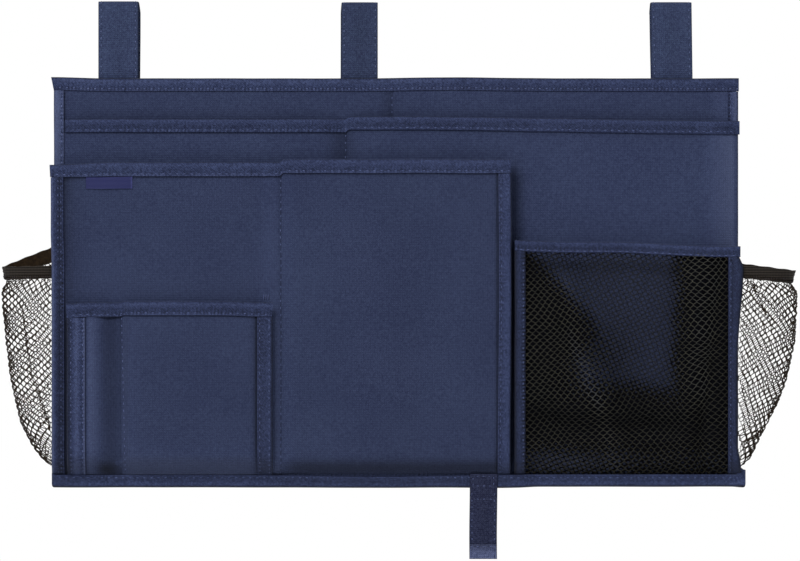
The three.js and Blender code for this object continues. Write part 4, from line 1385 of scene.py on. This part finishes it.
def bag_top(bag, turn):
    end = bag["rear"] if turn < 0.5 else bag["front"]
    return mix(end, bag["tip"], outward(turn))


def band_height(bag, turn):
    return BAND + (bag["tall"] * (1 - math.sin(math.pi * turn)) if turn < 0.5 else 0)


def creased(bag, x, drop):
    """A point of the front net, drawn over itself along the lines where it is creased."""
    point = Vector((x, drop))
    for x0, d0, x1, d1 in bag["creases"]:
        start, line = Vector((x0, d0)), Vector((x1 - x0, d1 - d0))
        along = line.normalized()
        across = Vector((-along.y, along.x))
        place, off = (point - start).dot(along), (point - start).dot(across)
        inside = ease(place, -8, 4) * ease(line.length + 8 - place, 0, 12)
        point -= across * off * 1.9 * dip(off, 0, 4.5) * inside
    return point.x, point.y


def bag_half(bag, top, half, sway):
    """The shape of a bag's front (half 1) or rear (-1), from its outer edge to its seam.

    The flat net begins just inside the outer edge, and its last holes turn round it.
    """
    begins = 1.2

    def point(a, b):
        near, drop = a + begins, top + b
        loose = ease(b, 0, 25) * ease(BAG_FOOT - drop, 0, 25)
        far = abs(near) + sway * ripple(near, drop, 32, 91) * loose * ease(near, 0, 12)
        drop += sway * ripple(near, drop, 36, 93) * loose
        if drop > BAG_FOOT:
            return None
        share = far / bag_reach(bag, drop)
        if share > 1:
            return None
        fore = max(share, 0) ** (1 / SECTION) * (half if near > 0 else -half)
        turn = math.acos(-fore) / math.pi
        if drop < bag_top(bag, turn) + BAND - 2.5:
            return None
        soft = math.sin(math.pi * turn) * ease(BAG_FOOT - drop, 0, 30)
        sink = (1.8 * ripple(near, drop, 20, 51) + 1.2 * math.sin(near / 9 + drop / 21)) * soft
        x, y, _ = bag_point(bag, turn, drop, 0.6)
        if turn > 0.5:
            x, drop = creased(bag, x, drop)
        return at(x - bag["side"] * abs(sink) * 0.3, y - sink * math.cos(math.pi * turn), drop)

    return point


def build_bag(name, bag):
    """A loose bag of net, in a front and a rear half."""
    top = min(bag["rear"], bag["front"]) + BAND - 2
    wide, tall = bag["reach"] + 4, BAG_FOOT - top
    for part, half, turn, sway, nodes in (
        ("knitted_net", 1, bag["turn"], 3.0, [f"{name}_bottle_net"]),
        ("rear_net", -1, bag["turn"] + 9, 2.6, []),
    ):
        net = knitted_net(f"{name}_bottle_{part}", wide, tall, 3.95, 0.72, turn,
                          bag_half(bag, top, half, sway), MATERIALS["bottle_net"], 0.5)
        finish(net, "black_net", *nodes)


def build_bag_elastic(name, bag):
    """Ribbed elastic round a bag's mouth, with a zigzag seam. Net lines its inside."""
    levels = 9
    rings = []
    for turn in spread(0, 1, 1 / 72):
        start = bag_top(bag, turn) + 0.25 * math.sin(turn * 60)
        outer, inner = [], []
        for i in range(levels):
            drop = start + band_height(bag, turn) * i / (levels - 1)
            rib = 0.35 if i % 2 else 0.0
            outer.append(at(*bag_point(bag, turn, drop, 0.1 - rib)))
            inner.append(at(*bag_point(bag, turn, drop, ELASTIC - 0.4)))
        rings.append(outer + inner[::-1])
    band = skin(f"{name}_bottle_ribbed_elastic", rings, MATERIALS["elastic"], sharp=70,
                bands=set(range(levels, 2 * levels - 1)), lining=MATERIALS["bottle_net"])
    finish(band, "black_elastic", f"{name}_bottle_elastic")

    zigzag = []
    for i, turn in enumerate(spread(0, 1, 1 / 120)):
        drop = bag_top(bag, turn) + BAND - (1.2 if i % 2 else 3.4)
        zigzag.append(at(*bag_point(bag, turn, drop, -0.45)))
    rows = Stitches()
    rows.row(zigzag, out=(bag["side"] * 0.5, -0.8, 0), pitch=2.4, length=2.2, thick=0.5)
    made = rows.finish(f"{name}_bottle_zigzag")
    made.data.materials[0] = MATERIALS["bottle_net"]


def build_label():
    """Blank woven tab, folded in half and caught under the front pocket's tape."""
    foot, steps = 96.4, spread(0, 1, 1 / 6)
    rings = []
    for x in spread(LABEL_LEFT, LABEL_RIGHT, 1.5):
        across = (x - LABEL_LEFT) / (LABEL_RIGHT - LABEL_LEFT)
        narrow = 1 - NARROW * (1 - ease(x, FRONT_LEFT, FRONT_LEFT + NARROWING))
        top = front_mouth(x) + FRONT["leg"] * narrow + 0.2
        front, rear = [], []
        for down in steps:
            drop = mix(top, foot, down) + 0.15 * math.sin(across * 5)
            curl = 0.3 * math.sin(math.pi * across) * down**2
            front.append(at(x, front_front(x, drop) - SEAM - 0.9 - curl, drop))
            drop = mix(top, foot, down)
            rear.append(at(x, front_front(x, drop) - SEAM, drop))
        rings.append(front + rear[::-1])
    finish(skin("blank_label_tab", rings, MATERIALS["label"]), "label_tape", "label_tab")


# Straps


# Half of a strap's section, as shares of its width and thickness: its edges are rounded,
# and its rows of stitches lie in shallow grooves
STRAP_HALF = [(-0.5, 0.3), (-0.47, 0.5), (-0.43, 0.42), (-0.38, 0.54), (0, 0.56),
              (0.38, 0.54), (0.43, 0.42), (0.47, 0.5), (0.5, 0.3)]
# Painted light and shade round a strap: dark at its edges and grooves, pale on the rounded
# parts
STRAP_TONES = [0.35, 1.2, 0.95, 1.12, 1.0, 1.12, 0.95, 1.2, 0.35] * 2
STITCHED = 0.43  # how far from the middle those rows lie


def strap_rings(path, middles, width):
    """Rings of a strap along a path in (y, z)."""
    section = STRAP_HALF + [(across, -off) for across, off in STRAP_HALF[::-1]]
    rings = []
    for i, (y, z) in enumerate(path):
        before, after = path[max(0, i - 1)], path[min(len(path) - 1, i + 1)]
        along = Vector((after[0] - before[0], after[1] - before[1])).normalized()
        normal = Vector((-along.y, along.x))
        ring = []
        for across, off in section:
            point = Vector((y, z)) + normal * STRAP * off
            ring.append((middles[i] + across * width, point.x, point.y))
        rings.append(ring)
    return rings


def strap_skin(name, path, middles, width, material, body, fade=(1, 1)):
    """A strap with painted shade along its edges. Fade is its tone at both ends."""
    rings = strap_rings(path, middles, width)
    last = len(rings) - 1
    tones = [tone * mix(*fade, i / last) for i in range(last + 1) for tone in STRAP_TONES]
    return finish(skin(name, rings, material, body, tones=tones), "strap_webbing")


def straight(start, end, step=4.0):
    """A straight run between two points in (y, z), cut into short steps."""
    count = max(1, round(math.dist(start, end) / step))
    return [(mix(start[0], end[0], i / count), mix(start[1], end[1], i / count))
            for i in range(count + 1)]


def bend(centre, first, last):
    """A quarter bend of the crest between two turns in degrees."""
    y, z = centre
    turns = [math.radians(mix(first, last, share)) for share in spread(0, 1, 1 / 8)]
    return [(y + BEND_R * math.cos(turn), z + BEND_R * math.sin(turn)) for turn in turns]


def softened(path):
    """A path with its corners rounded by averaging three times, ends kept."""
    for _ in range(3):
        inner = [
            ((a[0] + 2 * b[0] + c[0]) / 4, (a[1] + 2 * b[1] + c[1]) / 4)
            for a, b, c in zip(path, path[1:], path[2:])
        ]
        path = [path[0], *inner, path[-1]]
    return path


def edge_stitches(path, middles, width):
    """Topstitching near both edges of a strap, on its outer face."""
    rows = Stitches()
    for edge in (-1, 1):
        debt = 0.0
        for i in range(len(path) - 1):
            (y0, z0), (y1, z1) = path[i], path[i + 1]
            along = Vector((y1 - y0, z1 - z0))
            length = along.length
            normal = Vector((-along.y, along.x)) / length
            face = normal * (STRAP * 0.42 + 0.1)
            while debt < length:
                share = debt / length
                x = mix(middles[i], middles[i + 1], share) + edge * width * STITCHED
                y, z = y0 + along.x * share, z0 + along.y * share
                middle = Vector((x, y + face.x, z + face.y))
                rows.one(middle, Vector((0, along.x, along.y)) / length,
                         Vector((0, normal.x, normal.y)), STITCH, THREAD)
                debt += PITCH
            debt -= length
    return rows


def leaned(x, lean, path):
    """Middles of a strap that leans aside on its way up to its crest."""
    return [x + lean * clamp((z - TOP_Z) / 66) for _, z in path]


# A hanging strap from its place on the rail: its runs at y, and the bends of its crest
RUN_Y = 12.7
BEND_R = 3.3
CREST = 9.4
OVER_Y = 4  # where its crest passes over to the piece that bends
TAIL_TOP = 4  # where its tail begins below the crest
SEWN = 11  # how far its front run reaches below the panel's top edge
TAIL_MEETS = 13  # where its tail meets the panel's back
TAIL_END = 70


def build_hanging_strap(name, x, width, lean, peek, rise, tone):
    """A strap loop over the rail. Its tail sits a little to one side of its front run.

    The rise is how far this loop's crest sits above the solid's, and the tone is its own.
    """
    material = MATERIALS["strap"]
    body = f"tail_{name}"
    crest_z, top_z = CREST + rise, RUN_Y + rise
    front = straight((-RUN_Y, TOP_Z - SEWN), (-RUN_Y, crest_z))
    front += bend((-CREST, crest_z), 180, 90)[1:]
    front += straight((-CREST, top_z), (OVER_Y, top_z), 3)[1:]
    middles = leaned(x, lean, front)
    run = strap_skin(f"strap_{name}_front_run", front, middles, width, material, "caddy",
                     (tone, tone))
    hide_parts(f"strap_{name}")
    edge_stitches(front, middles, width).finish(f"strap_{name}_front_stitches", tone=1.4)

    over = straight((OVER_Y, top_z), (CREST, top_z), 1)
    over += bend((CREST, crest_z), 90, 0)[1:]
    over += straight((RUN_Y, crest_z), (RUN_Y, TAIL_TOP), 0.6)[1:]
    aside = [x + lean + peek * ease(i / (len(over) - 1), 0, 1) for i in range(len(over))]
    crest = strap_skin(f"strap_{name}_bend", over, aside, width, material, None,
                       (tone, tone))
    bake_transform(crest)

    low = REAR_Y + SEAM + PATCH + SEAM + PATCH + SEAM + STRAP / 2
    corners = [(RUN_Y, TAIL_TOP), (RUN_Y, -13), (low, TOP_Z - TAIL_MEETS),
               (low, TOP_Z - TAIL_END)]
    tail = corners[:1]
    for start, end in zip(corners, corners[1:]):
        tail += straight(start, end)[1:]
    tail = softened(tail)
    aside = leaned(x + peek, lean, tail)
    back = strap_skin(f"strap_{name}_tail_run", tail, aside, width, material, body,
                      (tone, tone))
    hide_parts(f"strap_{name}_tail")
    rows = edge_stitches(tail, aside, width)
    hem = [(x + peek + step, low + STRAP / 2, TOP_Z - TAIL_END + 3)
           for step in spread(2 - width / 2, width / 2 - 2, 3)]
    rows.row(hem, (0, 1, 0))
    rows.finish(f"strap_{name}_tail_stitches", body, 1.4)
    build_patches(name, x, body)


def build_patches(name, x, body):
    """Hook tape on the tail and loop tape on the panel's back, each with a rough face."""
    top, height, width = 16, 50, 25
    loop_rear = REAR_Y + SEAM + PATCH
    hook_rear = loop_rear + SEAM + PATCH
    for kind, rear, owner in (("loop", loop_rear, "caddy"), ("hook", hook_rear, body)):
        rings = []
        rough = 1 if kind == "loop" else -1
        for px in spread(x - width / 2, x + width / 2, 1.25):
            faces = {1: [], -1: []}
            for drop in spread(top, top + height, 1.25):
                fuzz = 0.12 * (1 + ripple(px, drop, 1 / 1.3, 7))
                for sign in (1, -1):
                    y = rear if sign > 0 else rear - PATCH
                    lift = (0.08 + fuzz) if sign == rough else 0
                    faces[sign].append((px, y + sign * (lift - 0.25), TOP_Z - drop))
            rings.append(faces[-1] + faces[1][::-1])
        made = skin(f"strap_{name}_{kind}_tape", rings, MATERIALS[f"{kind}s"], owner)
        finish(made, f"{kind}_tape", f"strap_{name}_{kind}_patch")


def build_bottom_strap():
    """Strap sewn to the bottom tape in a box of stitches, with its end turned up."""
    x, width = 76.2, 24.1
    y = REAR_Y + POCKETS_FRONT - EDGE - SEAM - STRAP / 2 - 0.3
    top, end = TOP_Z - (FOOT - 1.2), TOP_Z - (HEIGHT + 63.2)
    hem = 13

    def middles(path):
        return [x + 0.25 * math.sin(z / 17) for _, z in path]

    path = straight((y, top), (y, end), 2)
    strap = strap_skin("bottom_strap_run", path, middles(path), width,
                       MATERIALS["bottom_strap"], None)
    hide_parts("bottom_strap", "bottom_strap_anchor")
    over = straight((y - STRAP, end + hem), (y - STRAP, end + 0.3), 1.5)
    # The hem is painted dark at its top edge and pale towards its fold, as light falls on it
    strap_skin("bottom_strap_hem", over, middles(over), width - 0.2, MATERIALS["hem"],
               "bottom_strap_free", (0.45, 1.35))
    hinge = TOP_Z - HEIGHT - 1.95
    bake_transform(strap)
    face = y - STRAP / 2 - 0.1
    box = [(x - 9, top - 2), (x + 9, top - 2), (x + 9, top - 10.5), (x - 9, top - 10.5),
           (x - 9, top - 2)]
    rows = Stitches()
    rows.row([(px, face, pz) for px, pz in box], pitch=2.6, length=1.9)
    rows.finish("bottom_strap_box_stitches")
    rows = Stitches()
    for edge in (-9.9, 9.9):
        line = [(x + edge, face + 0.1, z) for z in spread(end + hem, hinge - 3, 4)]
        rows.row(line, pitch=2.8)
        line = [(x + edge, face - STRAP + 0.1, z) for z in spread(end + 1, end + hem, 4)]
        rows.row(line, pitch=2.8)
    rows.row([(px, face, hinge - 9) for px in spread(x - 9, x + 9, 3)], pitch=2.8)
    rows.row([(px, face - STRAP, end + hem - 2) for px in spread(x - 9, x + 9, 3)], pitch=2.8)
    rows.finish("bottom_strap_edge_stitches", "bottom_strap_free")


# Floor, light and camera
AMBIENT = 0.32
LAMPS = (
    ("key_lamp", (-1.1, -2.6, 1.55), 76, 1.4),
    ("fill_lamp", (1.2, -2.3, -0.35), 10, 1.4),
    ("back_lamp", (0.4, 2.4, 1.2), 22, 1.6),
)
LAMP_AIM = Vector((0, 0, -0.22))
FLOOR_HALF, FLOOR_LEVEL = 3000, -640
VIEW_DISTANCE = 12.0  # a long lens from afar, as the photograph shows no perspective
VIEW_WIDTH = 0.6976  # 800 pixels at 0.872 mm, at the pockets' faces
VIEW_CENTRE = (0.0035, -0.2289)
FACE_DEPTH = 0.03


def place_object(name, data, location):
    made = bpy.data.objects.new(name, data)
    bpy.context.collection.objects.link(made)
    made.location = location
    return made


def build_world():
    """A plain level of light, and white wherever the eye, a reflection or clear stuff looks."""
    world = bpy.data.worlds.new("studio")
    bpy.context.scene.world = world
    world.use_nodes = True
    tree = world.node_tree
    background = tree.nodes["Background"]
    background.inputs["Color"].default_value = (1, 1, 1, 1)
    rays = add_node(tree, "ShaderNodeLightPath").outputs
    seen = math_node(tree, "MAXIMUM", rays["Is Camera Ray"], rays["Is Glossy Ray"])
    seen = math_node(tree, "MAXIMUM", seen, rays["Is Transmission Ray"])
    strength = add_node(
        tree, "ShaderNodeMapRange", {"Value": seen, "To Min": AMBIENT, "To Max": 1.0}
    ).outputs["Result"]
    tree.links.new(strength, background.inputs["Strength"])


def build_studio():
    scene = bpy.context.scene
    scene.view_settings.view_transform = "Standard"
    build_world()
    paint, _, shader, _ = start_material("pale_floor", 0.9)
    shader.inputs["Base Color"].default_value = linear("#e9e9e7")
    corners = [(x * FLOOR_HALF, y * FLOOR_HALF, FLOOR_LEVEL)
               for x, y in ((-1, -1), (1, -1), (1, 1), (-1, 1))]
    piece("floor", corners, [(0, 1, 2, 3)], paint, body=None)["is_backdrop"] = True

    for name, place, power, size in LAMPS:
        lamp = bpy.data.lights.new(name, "AREA")
        lamp.energy = power
        lamp.size = size
        made = place_object(name, lamp, place)
        aim = LAMP_AIM - Vector(place)
        made.rotation_euler = aim.to_track_quat("-Z", "Y").to_euler()

    camera = bpy.data.cameras.new("front_camera")
    camera.sensor_width = 36
    camera.lens = camera.sensor_width * (VIEW_DISTANCE - FACE_DEPTH) / VIEW_WIDTH
    camera.clip_end = 60
    x, z = VIEW_CENTRE
    made = place_object("front_camera", camera, (x, -VIEW_DISTANCE, z))
    made.rotation_euler = (math.radians(90), 0, 0)
    scene.camera = made


# Each hanging strap: place, width, lean of its front run, how far its tail sits aside, how
# far its crest rises above the solid's, and its tone
HANGING_STRAPS = {
    "left": (-242.5, 34.8, 0, 1.6, 1.5, 1.02),
    "middle": (-31.7, 31.6, 0, -0.9, 0.7, 0.87),
    "right": (241.2, 35.6, -0.9, -0.9, 0.8, 1.03),
}


def main():
    build_studio()
    build_covers()
    build_upper_tapes()
    build_bottom_tape()
    build_panel_stitches()
    build_wide_pocket()
    build_front_pocket()
    build_small_pocket()
    build_mesh_pocket()
    for name, bag in BAGS.items():
        build_bag(name, bag)
        build_bag_elastic(name, bag)
    build_label()
    for name, sizes in HANGING_STRAPS.items():
        build_hanging_strap(name, *sizes)
    build_bottom_strap()


main()

boxes = [[[float(c) for c in corner] for corner in box] for box in (CAD_BOX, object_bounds())]
